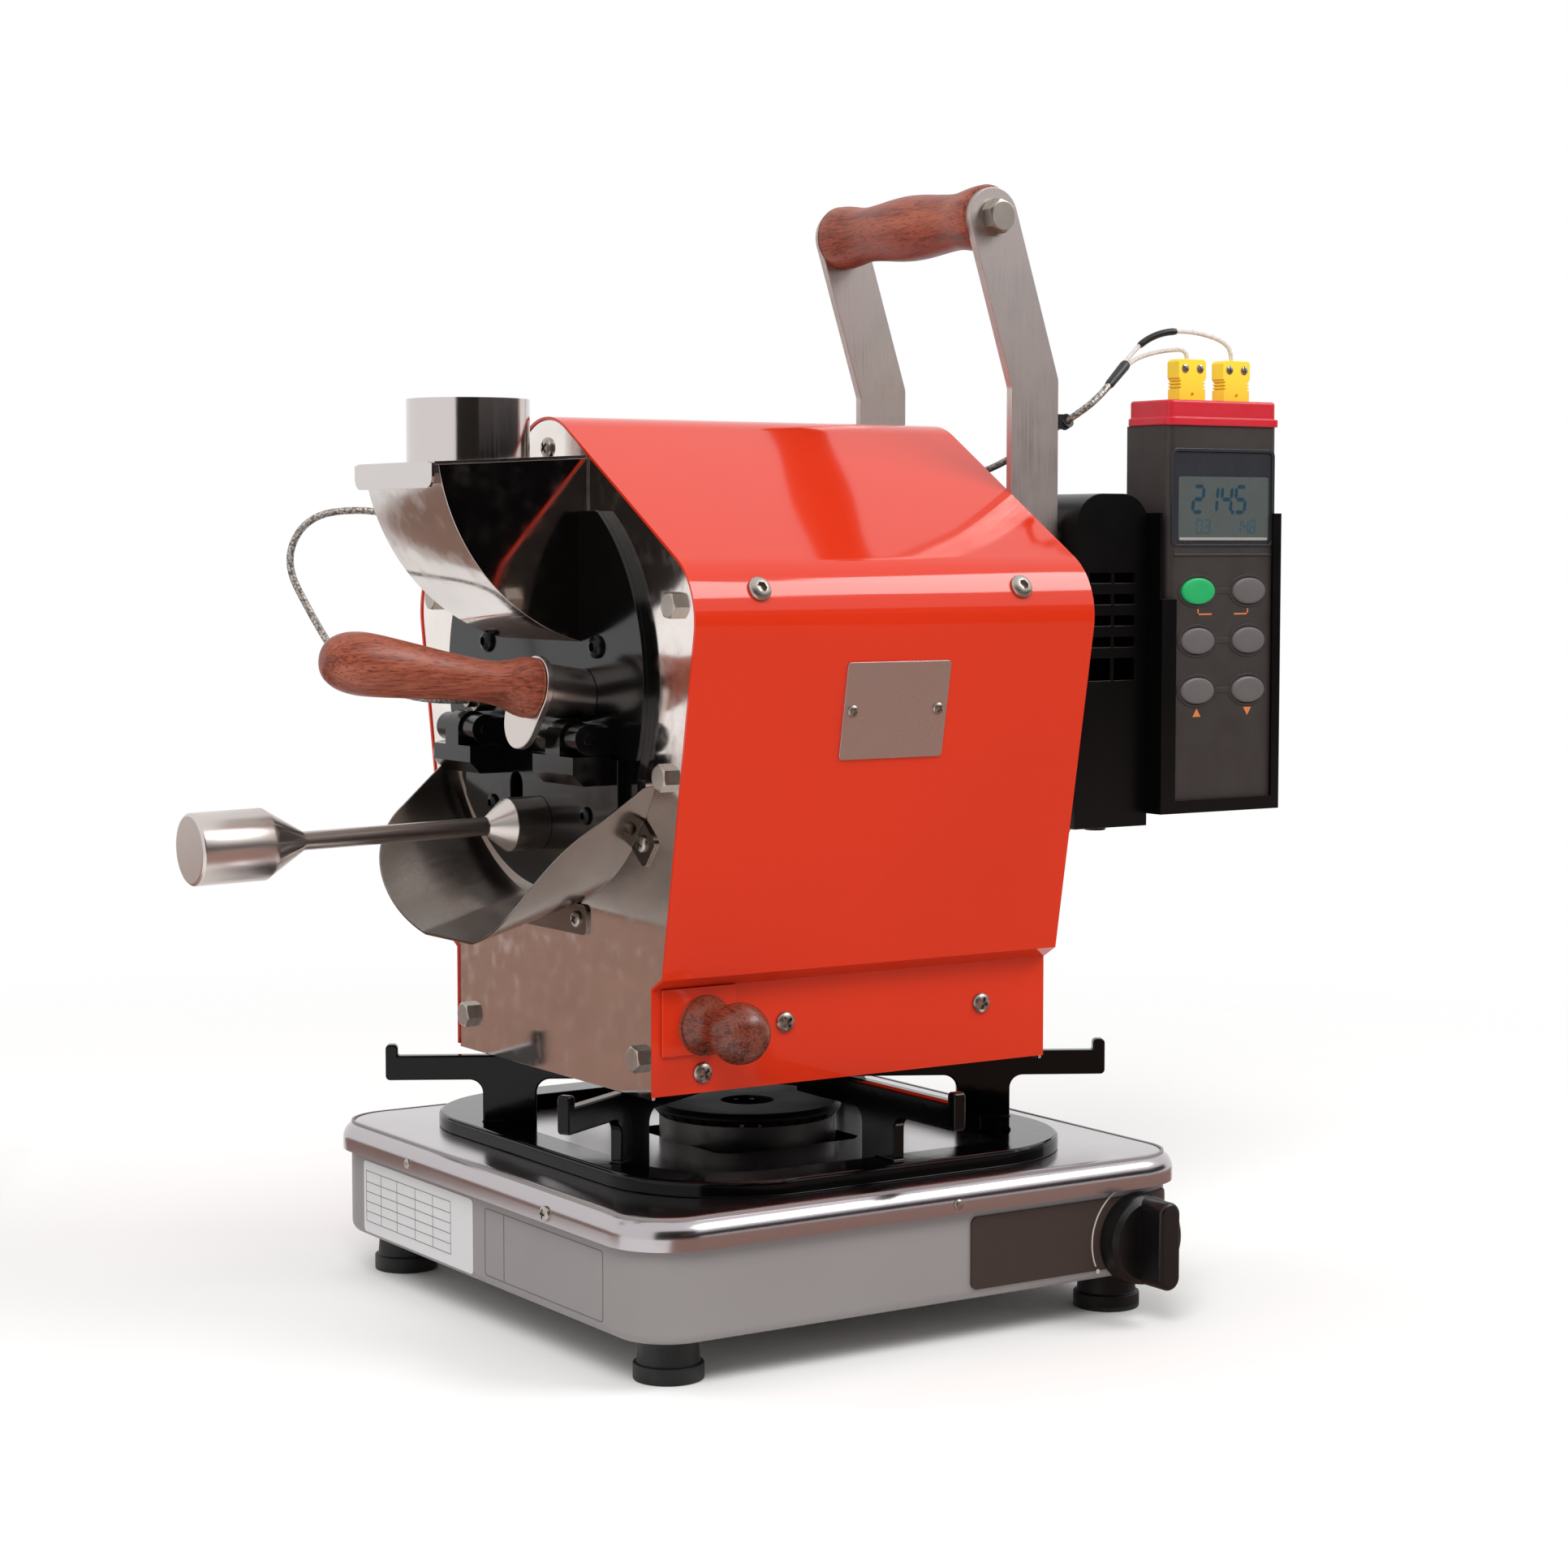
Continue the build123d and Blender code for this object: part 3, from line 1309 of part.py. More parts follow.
def box_pads():
    """The rubber pads under the floor of the box."""
    outline = Polyline((0, 0), (pad_radius, 0), (pad_radius - 1.2, pad_height), (0, pad_height), (0, 0))
    pads = []
    for side in (-1, 1):
        for y in (box_y0 + 0.28 * box_depth, box_y0 + 0.78 * box_depth):
            pads.append(turned(outline, (side * pad_x, y, axis_z - box_drop), (0, 0, -1)))
    return pads


def box_spacers():
    """The bars that hold the motor box off the rear plate."""
    return [rod((x, rear_face, z), (0, 1, 0), spacer_radius, box_gap) for x, z in spacer_places()]


def gear_motor():
    y0 = box_y0 + box_sheet
    half = gearbox_width / 2
    face = Pos(0, axis_z) * RectangleRounded(gearbox_width, gearbox_width, 5)
    gearbox = slab_y(face, y0, y0 + gearbox_depth)
    gearbox -= rod((0, y0 - 1, axis_z), (0, 1, 0), shaft_radius + fit_gap, shaft_end_y() - y0 + 2)
    can = rod((0, y0 + motor_radius + 1, axis_z - half), (0, 0, -1), motor_radius, motor_length)
    return gearbox + can


# ---------------------------------------------------------------- logger
def logger_holder():
    sheet_t = holder_sheet
    x0, x1 = logger_back_x - sheet_t, logger_face_x + holder_front_gap + sheet_t
    y0, y1 = box_y1, logger_y0 + logger_width + slide_gap + sheet_t
    z0 = base_z + logger_low - sheet_t
    z1 = base_z + holder_wall_high
    outer = slab_z(area(x0, x1, y0, y1), z0, z1)
    pocket = slab_z(area(x0 + sheet_t, x1 - sheet_t, y0 + sheet_t, y1 - sheet_t), z0 + sheet_t, z1 + 1)
    front_x0 = x1 - sheet_t - 0.1
    window = area(y0 + sheet_t + holder_lip, y1 - sheet_t - holder_far_lip, z0 + holder_floor_lip, z1 + 1)
    window += area(y0 - 1, y0 + sheet_t + holder_lip + 1, base_z + holder_lip_high, z1 + 1)
    holder = outer - pocket - slab_x(window, front_x0, x1 + 1)
    corners = [e for e in holder.edges().filter_by(Axis.Z) if e.center().X > x1 - 0.1 and e.center().Y > y1 - 0.1]
    return fillet(corners, radius=1.4)


def logger_case():
    y1 = logger_y0 + logger_width
    face = Pos((logger_y0 + y1) / 2, base_z + (logger_low + logger_high) / 2)
    case = slab_x(face * Rectangle(logger_width, logger_high - logger_low), logger_back_x, logger_face_x)
    case = fillet([e for e in case.edges().filter_by(Axis.Z) if e.center().X > logger_face_x - 1],
                  radius=logger_round)
    case = fillet([e for e in case.edges() if abs(e.center().Z - base_z - logger_low) < 0.1
                   and e.center().X > logger_face_x - 0.1], radius=1.5)
    bezel = area(bezel_y0, bezel_y1, base_z + bezel_z0, base_z + bezel_z1)
    case -= slab_x(fillet(bezel.vertices(), radius=2), logger_face_x - bezel_depth, logger_face_x + 1)
    for y, z in button_places():
        hole = Pos(y, z) * Ellipse(button_length / 2 + button_gap, button_tall / 2 + button_gap)
        case -= slab_x(hole, logger_face_x - button_deep - 1.2, logger_face_x + 1)
    return case


def logger_display():
    inset = 0.2
    panel = area(bezel_y0 + inset, bezel_y1 - inset, base_z + bezel_z0 + inset, base_z + bezel_z1 - inset)
    panel = fillet(panel.vertices(), radius=1.8)
    back = logger_face_x - bezel_depth
    return slab_x(panel, back, back + screen_thick)


def logger_cap():
    x0, x1 = logger_back_x, logger_face_x
    y0, y1 = logger_y0, logger_y0 + logger_width
    z0 = base_z + logger_high
    rim = area(x0 - cap_lap / 2, x1 + cap_lap, y0 - cap_lap, y1 + cap_lap)
    rim = fillet(rim.vertices(), radius=4)
    crown = area(x0, x1 - cap_step + cap_lap, y0 + cap_step - cap_lap, y1 - cap_step + cap_lap)
    crown = fillet(crown.vertices(), radius=3)
    cap = slab_z(rim, z0, z0 + cap_rim) + slab_z(crown, z0 + cap_rim, base_z + cap_high)
    return chamfer(cap.faces().sort_by(Axis.Z)[-1].edges(), length=0.8)


def button_places():
    """Centres (Y, Z) of the six keys, row by row."""
    places = []
    for row in range(3):
        for y in (button_near_y, button_far_y):
            places.append((y, base_z + button_high_z - row * button_pitch_z))
    return places


def logger_button(index):
    y, z = button_places()[index]
    key = slab_x(Pos(y, z) * Ellipse(button_length / 2, button_tall / 2),
                 logger_face_x - button_deep, logger_face_x + button_proud)
    return chamfer(key.faces().sort_by(Axis.X)[-1].edges(), length=0.7)


def lead_plugs():
    """Two miniature thermocouple plugs: a waisted body with grip ribs and two screws on its face."""
    plugs = []
    low = base_z + cap_high
    half = plug_width / 2
    for y in (plug_near_y, plug_far_y):
        outline = Polyline((-half + 1.6, 0), (-half + 1.6, 7.5), (-half, 9), (-half, plug_tall - 1.5),
                           (-half + 1.5, plug_tall), (half - 1.5, plug_tall), (half, plug_tall - 1.5), (half, 9),
                           (half - 1.6, 7.5), (half - 1.6, 0), close=True)
        body = slab_x(Pos(y, low) * make_face(outline), plug_x - plug_thick / 2, plug_x + plug_thick / 2)
        for z in (3.0, 5.2):
            groove = area(y - half - 1, y + half + 1, low + z, low + z + 0.9)
            body -= slab_x(groove, plug_x + plug_thick / 2 - 0.5, plug_x + plug_thick / 2 + 1)
        for off in (-1, 1):
            body += rod((plug_x + plug_thick / 2, y + off * 4.2, low + 14.5), (1, 0, 0), plug_screw_radius, 0.6)
        plugs.append(body)
    return plugs


# ---------------------------------------------------------------- leads
def lead_start():
    return (probe_x, disc_face - probe_nut_length - probe_collar_length, base_z + probe_z)


bean_route = [lead_start(), (-52, -26, 264.7), (-58, -39, 267), (-75, -49, 272), (-97, -53, 282),
              (-113, -58, 301), (-120, -68, 325), (-116, -59, 345), (-110, -36, 349), (-108, -7, 344),
              (-107, 30, 334.5), (-106.5, 75, 332), (-107, 121, 331.5), (-106, 164, 333), (-102, 204, 339),
              (-85, 228, 351.5), (-60, 236, 359.5), (-32, 235, 362.5), (-6, 233.5, 366), (18, 231.5, 371.5),
              (39, 229.6, 379.2), (67, 232.8, 390.8), (67.5, 244.2, 398.5), (64.5, 252, 404)]
near_route = [(57.0, 272.2, 416.9), (57.8, 281.0, 419.6), (61.5, 290.5, 421.4),
              (plug_x, plug_near_y, 421.5), (plug_x, plug_near_y, base_z + cap_high + plug_tall)]
far_route = [(57.0, 270.9, 418.7), (57.6, 277.5, 425.0), (59.5, 288.0, 429.6), (61.5, 301.0, 430.2),
             (63.5, 312.0, 428.4), (64.6, 319.5, 425.8), (plug_x, plug_far_y, 422.0),
             (plug_x, plug_far_y, base_z + cap_high + plug_tall)]


def run_direction(points, start):
    """The way a route goes along one of its runs."""
    return (Vector(*points[start + 1]) - Vector(*points[start])).normalized()


def sleeve_end():
    return Vector(*bean_route[-1]) + run_direction(bean_route, -2) * sleeve_length


def wire_route(points, side):
    """A wire's route, from the end face of the sleeve where the lead divides."""
    away = run_direction(bean_route, -2)
    across = away.cross(Vector(1, 0, 0)).normalized()
    start = sleeve_end() + across * (side * (wire_radius + 0.1))
    return [tuple(start), tuple(start + away * 5)] + points[1:]


def corner_radii(points):
    """The largest arc that each corner of a route takes."""
    radii = []
    corners = [Vector(*p) for p in points]
    for before, corner, after in zip(corners, corners[1:], corners[2:]):
        into, out = corner - before, after - corner
        turn = radians(into.get_angle(out))
        radii.append(0.45 * min(into.length, out.length) / tan(turn / 2))
    return radii


def lead(points, radius):
    """A round lead along straight runs joined by tangent arcs."""
    radii = corner_radii(points)
    print("corner radii", [round(r, 1) for r in radii])
    path = FilletPolyline(*points, radius=radii)
    straight = sum((Vector(*b) - Vector(*a)).length for a, b in zip(points, points[1:]))
    print("length", round(path.length, 1), "of", round(straight, 1))
    return sweep(Plane(origin=path @ 0, z_dir=path % 0) * Circle(radius), path=path)


def bean_lead():
    return lead(bean_route, lead_radius)


def lead_sleeves():
    """The shrink sleeve where the lead divides."""
    return rod(bean_route[-1], run_direction(bean_route, -2), sleeve_radius, sleeve_length)


def plug_wires():
    return [lead(wire_route(near_route, 1), wire_radius), lead(wire_route(far_route, -1), wire_radius)]


def lead_clip():
    """A cable clip on the rear edge of the near arm, round the lead."""
    run = len(bean_route) - 4
    before = Vector(*bean_route[run])
    along = run_direction(bean_route, run)
    middle_x = arm_face_x - arm_thick / 2
    centre = before + along * ((middle_x - before.X) / along.X)
    ring = rod(centre - along * (clip_length / 2), along, clip_radius, clip_length)
    edge = rear_face + arm_strip
    saddle = slab_y(Pos(middle_x, centre.Z) * Rectangle(arm_thick, 2 * clip_radius), edge, centre.Y)
    return ring + saddle - rod(centre - along * 12, along, lead_radius + 0.15, 24)


# ---------------------------------------------------------------- writing
def solids_of(shape):
    if isinstance(shape, list):
        return [s for item in shape for s in item.solids()]
    return list(shape.solids())


def write(name, shape):
    found = solids_of(shape)
    whole = found[0] if len(found) == 1 else Compound(children=found)
    whole.label = name
    export_step(whole, f"parts/{name}.step")


def main():
    os.makedirs("parts", exist_ok=True)
    for build in (stove_body, stove_top, stove_feet, stove_screws, control_panel, gas_knob, gas_valve,
                  burner_base, burner_cap, trivet, side_cover, front_plate, rear_plate, tie_rods, plate_bolts,
                  cover_screws, side_rails, heat_plate, name_plate, door_frame, front_disc, disc_screws,
                  hinge_fixed, hinge_moving, door_plate, door_screws, lever, trier_bush, trier_spoon,
                  trier_handle, probe_fitting, hopper, hopper_lid, chute, drawer_tray, drawer_guide,
                  drawer_knob, drum, rear_bearing, handle_arms, handle_grip, handle_bolts, motor_box,
                  box_floor, gear_motor, logger_holder, logger_case, logger_cap, logger_display,
                  lead_plugs, bean_lead, plug_wires, lead_sleeves, lead_clip):
        write(build.__name__, build())
    for i in range(len(button_places())):
        write(f"logger_button_{i + 1}", logger_button(i))


main()
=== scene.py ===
import json
import logging
import math
from collections.abc import Sequence
from dataclasses import dataclass
from enum import Enum

import bmesh
import bpy
from mathutils import Matrix, Vector

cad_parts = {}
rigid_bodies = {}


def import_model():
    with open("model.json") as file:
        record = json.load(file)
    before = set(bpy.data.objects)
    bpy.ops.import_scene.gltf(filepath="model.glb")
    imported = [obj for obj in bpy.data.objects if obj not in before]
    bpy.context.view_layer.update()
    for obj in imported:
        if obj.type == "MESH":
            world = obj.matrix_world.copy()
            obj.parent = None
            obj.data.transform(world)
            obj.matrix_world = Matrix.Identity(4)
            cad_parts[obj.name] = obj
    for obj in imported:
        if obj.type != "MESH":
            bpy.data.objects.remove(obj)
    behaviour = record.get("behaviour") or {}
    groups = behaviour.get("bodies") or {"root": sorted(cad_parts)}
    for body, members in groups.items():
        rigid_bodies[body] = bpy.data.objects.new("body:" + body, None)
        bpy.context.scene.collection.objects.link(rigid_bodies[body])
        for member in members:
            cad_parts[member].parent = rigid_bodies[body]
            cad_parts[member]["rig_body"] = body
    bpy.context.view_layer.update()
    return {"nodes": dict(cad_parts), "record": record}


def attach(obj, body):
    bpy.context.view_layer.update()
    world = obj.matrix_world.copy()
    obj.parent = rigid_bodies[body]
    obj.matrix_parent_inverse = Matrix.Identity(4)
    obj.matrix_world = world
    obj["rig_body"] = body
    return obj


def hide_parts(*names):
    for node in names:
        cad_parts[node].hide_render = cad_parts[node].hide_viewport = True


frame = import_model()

MM = 0.001
SLOTS = {part["node"]: part["material_slot"] for part in frame["record"]["subparts"]}
LOG = logging.getLogger("roaster")

Point = tuple[float, float]
Place = tuple[float, float, float]
Seat = tuple[Place, Place]
Piece = bpy.types.Object
Socket = bpy.types.NodeSocket


class Along(Enum):
    """Axis that a grain, a brushing, a lathe's marks or a raised outline follows."""

    X = 0
    Y = 1
    Z = 2

    def drawn(self, across: float, run: float) -> Place:
        """Give the size of a pattern that has another length along this axis.

        Args:
            across: Its size on the other two axes.
            run: Its size along this one.

        Returns:
            Its size along X, Y and Z.
        """
        size = [across] * 3
        size[self.value] = run
        return (size[0], size[1], size[2])

    def raised(self, outline: Sequence[Point], level: float) -> list[Place]:
        """Take a flat outline to a level of this axis.

        Args:
            outline: Points on the other two axes, in their order in (X, Y, Z).
            level: Where on this axis they go.

        Returns:
            The points in space.
        """
        places = []
        for u, v in outline:
            place = [u, v]
            place.insert(self.value, level)
            places.append(tuple(place))
        return places


class Recess(Enum):
    """What a driver turns a screw by."""

    NONE = 0
    CROSS = 1
    HEX_SOCKET = 2
    SLOT = 3


# ------------------------------------------------------------------ nodes and colours
def linear(code: str) -> tuple[float, float, float, float]:
    """Turn an sRGB hex colour to linear values.

    Args:
        code: Six hex digits after a hash.

    Returns:
        Red, green, blue and an alpha of one.
    """
    parts = [int(code[i:i + 2], 16) / 255 for i in (1, 3, 5)]
    values = [c / 12.92 if c <= 0.04045 else ((c + 0.055) / 1.055) ** 2.4 for c in parts]
    return (values[0], values[1], values[2], 1.0)


def add(tree: bpy.types.NodeTree, kind: str, inputs: dict | None = None, **settings: object
        ) -> bpy.types.Node:
    """Add a node with its settings, its values and its links.

    Args:
        tree: The tree that gets the node.
        kind: Blender's name of the node.
        inputs: Values, or output sockets to link, by input name or number.
        **settings: The node's own options.

    Returns:
        The new node.
    """
    node = tree.nodes.new(kind)
    for name, value in settings.items():
        setattr(node, name, value)
    for key, value in (inputs or {}).items():
        if isinstance(value, Socket):
            tree.links.new(value, node.inputs[key])
        else:
            node.inputs[key].default_value = value
    return node


# ------------------------------------------------------------------ finishes
NOISE_CORE = (0.3, 0.7)  # nearly all of a noise's values lie between these


@dataclass(frozen=True)
class Surface:
    """The nodes of a material, and what finishes draw on it, with sizes in real millimetres."""

    tree: bpy.types.NodeTree
    shader: bpy.types.Node

    def cells(self, size: float | Place, detail: float = 2.0, edges: Point | None = None,
              ends: Point = (0.0, 1.0)) -> Socket:
        """Draw noise with blobs of about a given size.

        Args:
            size: Millimetres along X, Y and Z, or one figure for all three.
            detail: Octaves of finer noise.
            edges: Two of the noise's values that become the ends; None leaves the noise as it is.
            ends: What the edges become.

        Returns:
            The noise.
        """
        sizes = size if isinstance(size, tuple) else (size,) * 3
        place = add(self.tree, "ShaderNodeTexCoord").outputs["Object"]
        scaled = add(self.tree, "ShaderNodeMapping", {
            "Vector": place, "Scale": [1 / (s * MM) for s in sizes]}).outputs[0]
        noise = add(self.tree, "ShaderNodeTexNoise", {
            "Vector": scaled, "Scale": 1.0, "Detail": detail}).outputs[0]
        if edges is None:
            return noise
        return add(self.tree, "ShaderNodeMapRange", {
            0: noise, 1: edges[0], 2: edges[1], 3: ends[0], 4: ends[1]}).outputs[0]

    def feed(self, name: str, value: Socket) -> None:
        """Link a value to one of the shader's inputs."""
        self.tree.links.new(value, self.shader.inputs[name])

    def tint(self, amount: Socket, first: str | Socket, second: str) -> Socket:
        """Colour the surface between two colours.

        Args:
            amount: How much of the second shows, from 0 to 1.
            first: A hex colour, or a colour that the nodes give.
            second: A hex colour.

        Returns:
            The mixed colour.
        """
        base = linear(first) if isinstance(first, str) else first
        mix = add(self.tree, "ShaderNodeMix", {0: amount, 6: base, 7: linear(second)}, data_type="RGBA")
        self.feed("Base Color", mix.outputs[2])
        return mix.outputs[2]

    def relief(self, height: Socket, depth: float, strength: float = 1.0) -> None:
        """Give the surface a relief.

        Args:
            height: The relief, from 0 to 1.
            depth: Its depth in millimetres.
            strength: How much of it shows.
        """
        bump = add(self.tree, "ShaderNodeBump", {
            "Height": height, "Distance": depth * MM, "Strength": strength})
        self.feed("Normal", bump.outputs[0])

    def gloss(self, value: Socket, roughness: float, share: float) -> None:
        """Let the roughness wander with a value.

        Args:
            value: Noise, or something spread as noise is.
            roughness: The roughness at its middle.
            share: How far it goes up and down, as a share of itself.
        """
        low, high = roughness * (1 - share), roughness * (1 + share)
        wander = add(self.tree, "ShaderNodeMapRange", {
            0: value, 1: NOISE_CORE[0], 2: NOISE_CORE[1], 3: low, 4: high})
        self.feed("Roughness", wander.outputs[0])


@dataclass(frozen=True)
class Finish:
    """A plain surface with a faint unevenness of gloss; the kinds below add what their making leaves."""

    name: str
    colour: str
    roughness: float = 0.5
    metallic: float = 0.0
    coat: float = 0.0
    coat_roughness: float = 0.04
    specular: float = 0.5
    patch: float = 6.0
    uneven: float = 0.15

    def material(self) -> bpy.types.Material:
        """Make the finish's material, once.

        Returns:
            The new material, or the one that was made before.
        """
        made = bpy.data.materials.get(self.name)
        if made:
            return made
        made = bpy.data.materials.new(self.name)
        made.use_nodes = True
        tree = made.node_tree
        tree.nodes.clear()
        shader = add(tree, "ShaderNodeBsdfPrincipled", {
            "Base Color": linear(self.colour), "Roughness": self.roughness, "Metallic": self.metallic,
            "Coat Weight": self.coat, "Coat Roughness": self.coat_roughness,
            "Specular IOR Level": self.specular})
        add(tree, "ShaderNodeOutputMaterial", {"Surface": shader.outputs[0]})
        self.pattern(Surface(tree, shader))
        return made

    def pattern(self, surface: Surface) -> None:
        """Draw patches of slightly different gloss."""
        surface.gloss(surface.cells(self.patch), self.roughness, self.uneven)


@dataclass(frozen=True)
class PowderCoat(Finish):
    """Paint, powder or enamel that has run together: a skin with a faint orange peel."""

    peel: float = 1.6
    depth: float = 0.004
    drift: float = 70.0
    darker: float = 0.96
    patch: float = 14.0
    uneven: float = 0.07

    def pattern(self, surface: Surface) -> None:
        """Draw the orange peel, a slow drift of colour and a slight one of gloss.

        Args:
            surface: The material's nodes.
        """
        surface.relief(surface.cells(self.peel, 1.0), self.depth)
        surface.tint(surface.cells(self.drift, 1.0), self.colour, self.deeper())
        surface.gloss(surface.cells(self.patch), self.roughness, self.uneven)

    def deeper(self) -> str:
        """Give the finish's colour a little darker, as a hex code."""
        return "#" + "".join(f"{int(int(self.colour[i:i + 2], 16) * self.darker):02X}" for i in (1, 3, 5))


@dataclass(frozen=True)
class Brushed(Finish):
    """Metal brushed or rolled along an axis; the real scratches are far finer than the streaks here."""

    along: Along = Along.Y
    streak: float = 0.5
    run: float = 40.0
    depth: float = 0.004
    cloud: str = ""
    patch: float = 24.0
    uneven: float = 0.35

    def pattern(self, surface: Surface) -> None:
        """Draw the streaks and the cloudy marks of handling.

        Args:
            surface: The material's nodes.
        """
        streaks = surface.cells(self.along.drawn(self.streak, self.run), 3.0)
        surface.relief(streaks, self.depth, 0.8)
        clouds = surface.cells(self.patch, 4.0)
        both = add(surface.tree, "ShaderNodeMath", {0: streaks, 1: clouds}, operation="ADD").outputs[0]
        half = add(surface.tree, "ShaderNodeMath", {0: both, 1: 0.5}, operation="MULTIPLY").outputs[0]
        surface.gloss(half, self.roughness, self.uneven)
        if self.cloud:
            amount = add(surface.tree, "ShaderNodeMapRange", {0: half, 1: NOISE_CORE[0], 2: NOISE_CORE[1]})
            surface.tint(amount.outputs[0], self.colour, self.cloud)


@dataclass(frozen=True)
class Turned(Finish):
    """Metal turned on a lathe: rings round the bar, drawn wider apart than the tool's real 0.1 mm."""

    bar: Along = Along.Y
    ring: float = 0.4
    sweep: float = 30.0
    depth: float = 0.006
    uneven: float = 0.04

    def pattern(self, surface: Surface) -> None:
        """Draw the tool's rings, which change the gloss a little.

        Args:
            surface: The material's nodes.
        """
        rings = surface.cells(self.bar.drawn(self.sweep, self.ring), 3.0)
        surface.relief(rings, self.depth)
        surface.gloss(rings, self.roughness, self.uneven)


@dataclass(frozen=True)
class Polished(Finish):
    """Bright annealed sheet: a mirror that waves slightly, with faint smudges and cloudy wiping marks."""

    wave: float = 45.0
    depth: float = 0.012
    haze: float = 0.25
    haze_size: Place = (34.0, 34.0, 16.0)
    haze_colour: str = "#8F8782"
    smudge: float = 9.0
    smudge_edges: Point = (0.48, 0.75)
    smudge_rise: float = 2.4

    def pattern(self, surface: Surface) -> None:
        """Draw the sheet's waves, the haze and the smudges.

        Args:
            surface: The material's nodes.
        """
        surface.relief(surface.cells(self.wave, 0.0), self.depth)
        surface.tint(surface.cells(self.haze_size, 4.0, NOISE_CORE, (0.0, self.haze)), self.colour,
                     self.haze_colour)
        rougher = (self.roughness, self.roughness * self.smudge_rise)
        surface.feed("Roughness", surface.cells(self.smudge, 5.0, self.smudge_edges, rougher))


@dataclass(frozen=True)
class Wood(Finish):
    """Turned and oiled hardwood: broad growth bands, long fibres, and dark pores a few millimetres long.

    Each pattern's size is given across the grain and along it. Real pores are half as wide as these.
    """

    along: Along = Along.Y
    dark: str = "#5A2618"
    light: str = "#A35A43"
    band: Point = (6.0, 80.0)
    fibre: Point = (0.9, 14.0)
    pore: Point = (0.6, 5.0)
    tones: Point = (0.72, 1.28)
    pore_edges: Point = (0.56, 0.7)
    pore_share: float = 0.8
    dip_edges: Point = (0.55, 0.75)
    dip: float = 0.05
    uneven: float = 0.3

    def pattern(self, surface: Surface) -> None:
        """Draw the bands and fibres in three tones, and the pores as dark dips.

        Args:
            surface: The material's nodes.
        """
        bands = surface.cells(self.along.drawn(*self.band), 2.0)
        fibres = surface.cells(self.along.drawn(*self.fibre), 4.0)
        both = add(surface.tree, "ShaderNodeMath", {0: bands, 1: fibres}, operation="ADD").outputs[0]
        tone = add(surface.tree, "ShaderNodeMapRange", {0: both, 1: self.tones[0], 2: self.tones[1]})
        ramp = add(surface.tree, "ShaderNodeValToRGB", {0: tone.outputs[0]})
        first, last = ramp.color_ramp.elements
        first.color, last.color = linear(self.dark), linear(self.light)
        ramp.color_ramp.elements.new(0.5).color = linear(self.colour)
        pores = self.along.drawn(*self.pore)
        dark = surface.cells(pores, 1.0, self.pore_edges, (0.0, self.pore_share))
        surface.tint(dark, ramp.outputs[0], self.dark)
        surface.relief(surface.cells(pores, 1.0, self.dip_edges, (1.0, 0.0)), self.dip, 0.6)
        surface.gloss(fibres, self.roughness, self.uneven)


@dataclass(frozen=True)
class Moulded(Finish):
    """Moulded or cast in a spark-eroded tool: an even grain, drawn coarser than the real 0.1 mm."""

    grain: float = 0.7
    depth: float = 0.01
    patch: float = 11.0
    uneven: float = 0.2

    def pattern(self, surface: Surface) -> None:
        """Draw the tool's grain and patches of gloss.

        Args:
            surface: The material's nodes.
        """
        surface.relief(surface.cells(self.grain, 1.0), self.depth, 0.7)
        surface.gloss(surface.cells(self.patch, 3.0), self.roughness, self.uneven)


@dataclass(frozen=True)
class Braid(Finish):
    """A lead's woven sleeve: rounded strands with painted shade in the gaps between them, and a few tracer
    threads.
    """

    strand: float = 1.1
    depth: float = 0.12
    tracer: str = "#3E5A66"
    gap_shade: str = "#6A625C"
    gap_shade_edges: Point = (0.25, 0.75)
    tracer_size: float = 2.2
    tracer_edges: Point = (0.62, 0.66)
    tracer_share: float = 0.8

    def pattern(self, surface: Surface) -> None:
        """Draw the strands, painted shade in the gaps between them, and the tracer threads.

        Args:
            surface: The material's nodes.
        """
        place = add(surface.tree, "ShaderNodeTexCoord").outputs["Object"]
        strands = add(surface.tree, "ShaderNodeTexVoronoi", {
            "Vector": place, "Scale": 1 / (self.strand * MM)})
        away = strands.outputs["Distance"]
        surface.relief(away, self.depth)
        # Painted shade: each strand's colour darkens towards the gaps between the strands.
        gap_shade_amount = add(surface.tree, "ShaderNodeMapRange", {0: away, 1: self.gap_shade_edges[0], 2: self.gap_shade_edges[1]})
        shaded_weave = surface.tint(gap_shade_amount.outputs[0], self.colour, self.gap_shade)
        threads = surface.cells(self.tracer_size, 1.0, self.tracer_edges, (0.0, self.tracer_share))
        surface.tint(threads, shaded_weave, self.tracer)


# Sheet steel, powder coated and baked: one saturated colour under a hard skin that mirrors lamps softly.
RED_COAT = PowderCoat("powder coated steel orange red", "#D33217", 0.4, coat=1.0, coat_roughness=0.085,
                      specular=0.0)
# Stainless sheet, bright annealed and folded: it mirrors what stands near, bent by the sheet's slight waves.
MIRROR_SHEET = Polished("bright annealed stainless sheet", "#D6CFCB", 0.06, 1.0)
# The same sheet in a thicker, flatter plate: a paler mirror with less wiping on it.
PLATE_SHEET = Polished("bright annealed stainless plate", "#F0E7E2", 0.1, 1.0, wave=60.0, haze=0.16)
# Stainless sheet dull from the rolls and darkened by use: blurred reflections, brownish clouds.
CHUTE_SHEET = Brushed("rolled stainless sheet", "#857B74", 0.2, 1.0, along=Along.X, depth=0.002,
                      cloud="#6F6660")
# Stainless strip ground satin along its length: no image is left in it, only an even sheen.
ARM_STRIP = Brushed("satin stainless strip", "#CFC6C3", 0.48, 1.0, along=Along.Z, cloud="#B5ABA7")
# Stainless hob sheet brushed from side to side: soft reflections that smear across the brushing.
STOVE_SHEET = Brushed("brushed stainless hob plate", "#B9B3B6", 0.21, 1.0, along=Along.X, depth=0.0004,
                      uneven=0.12)
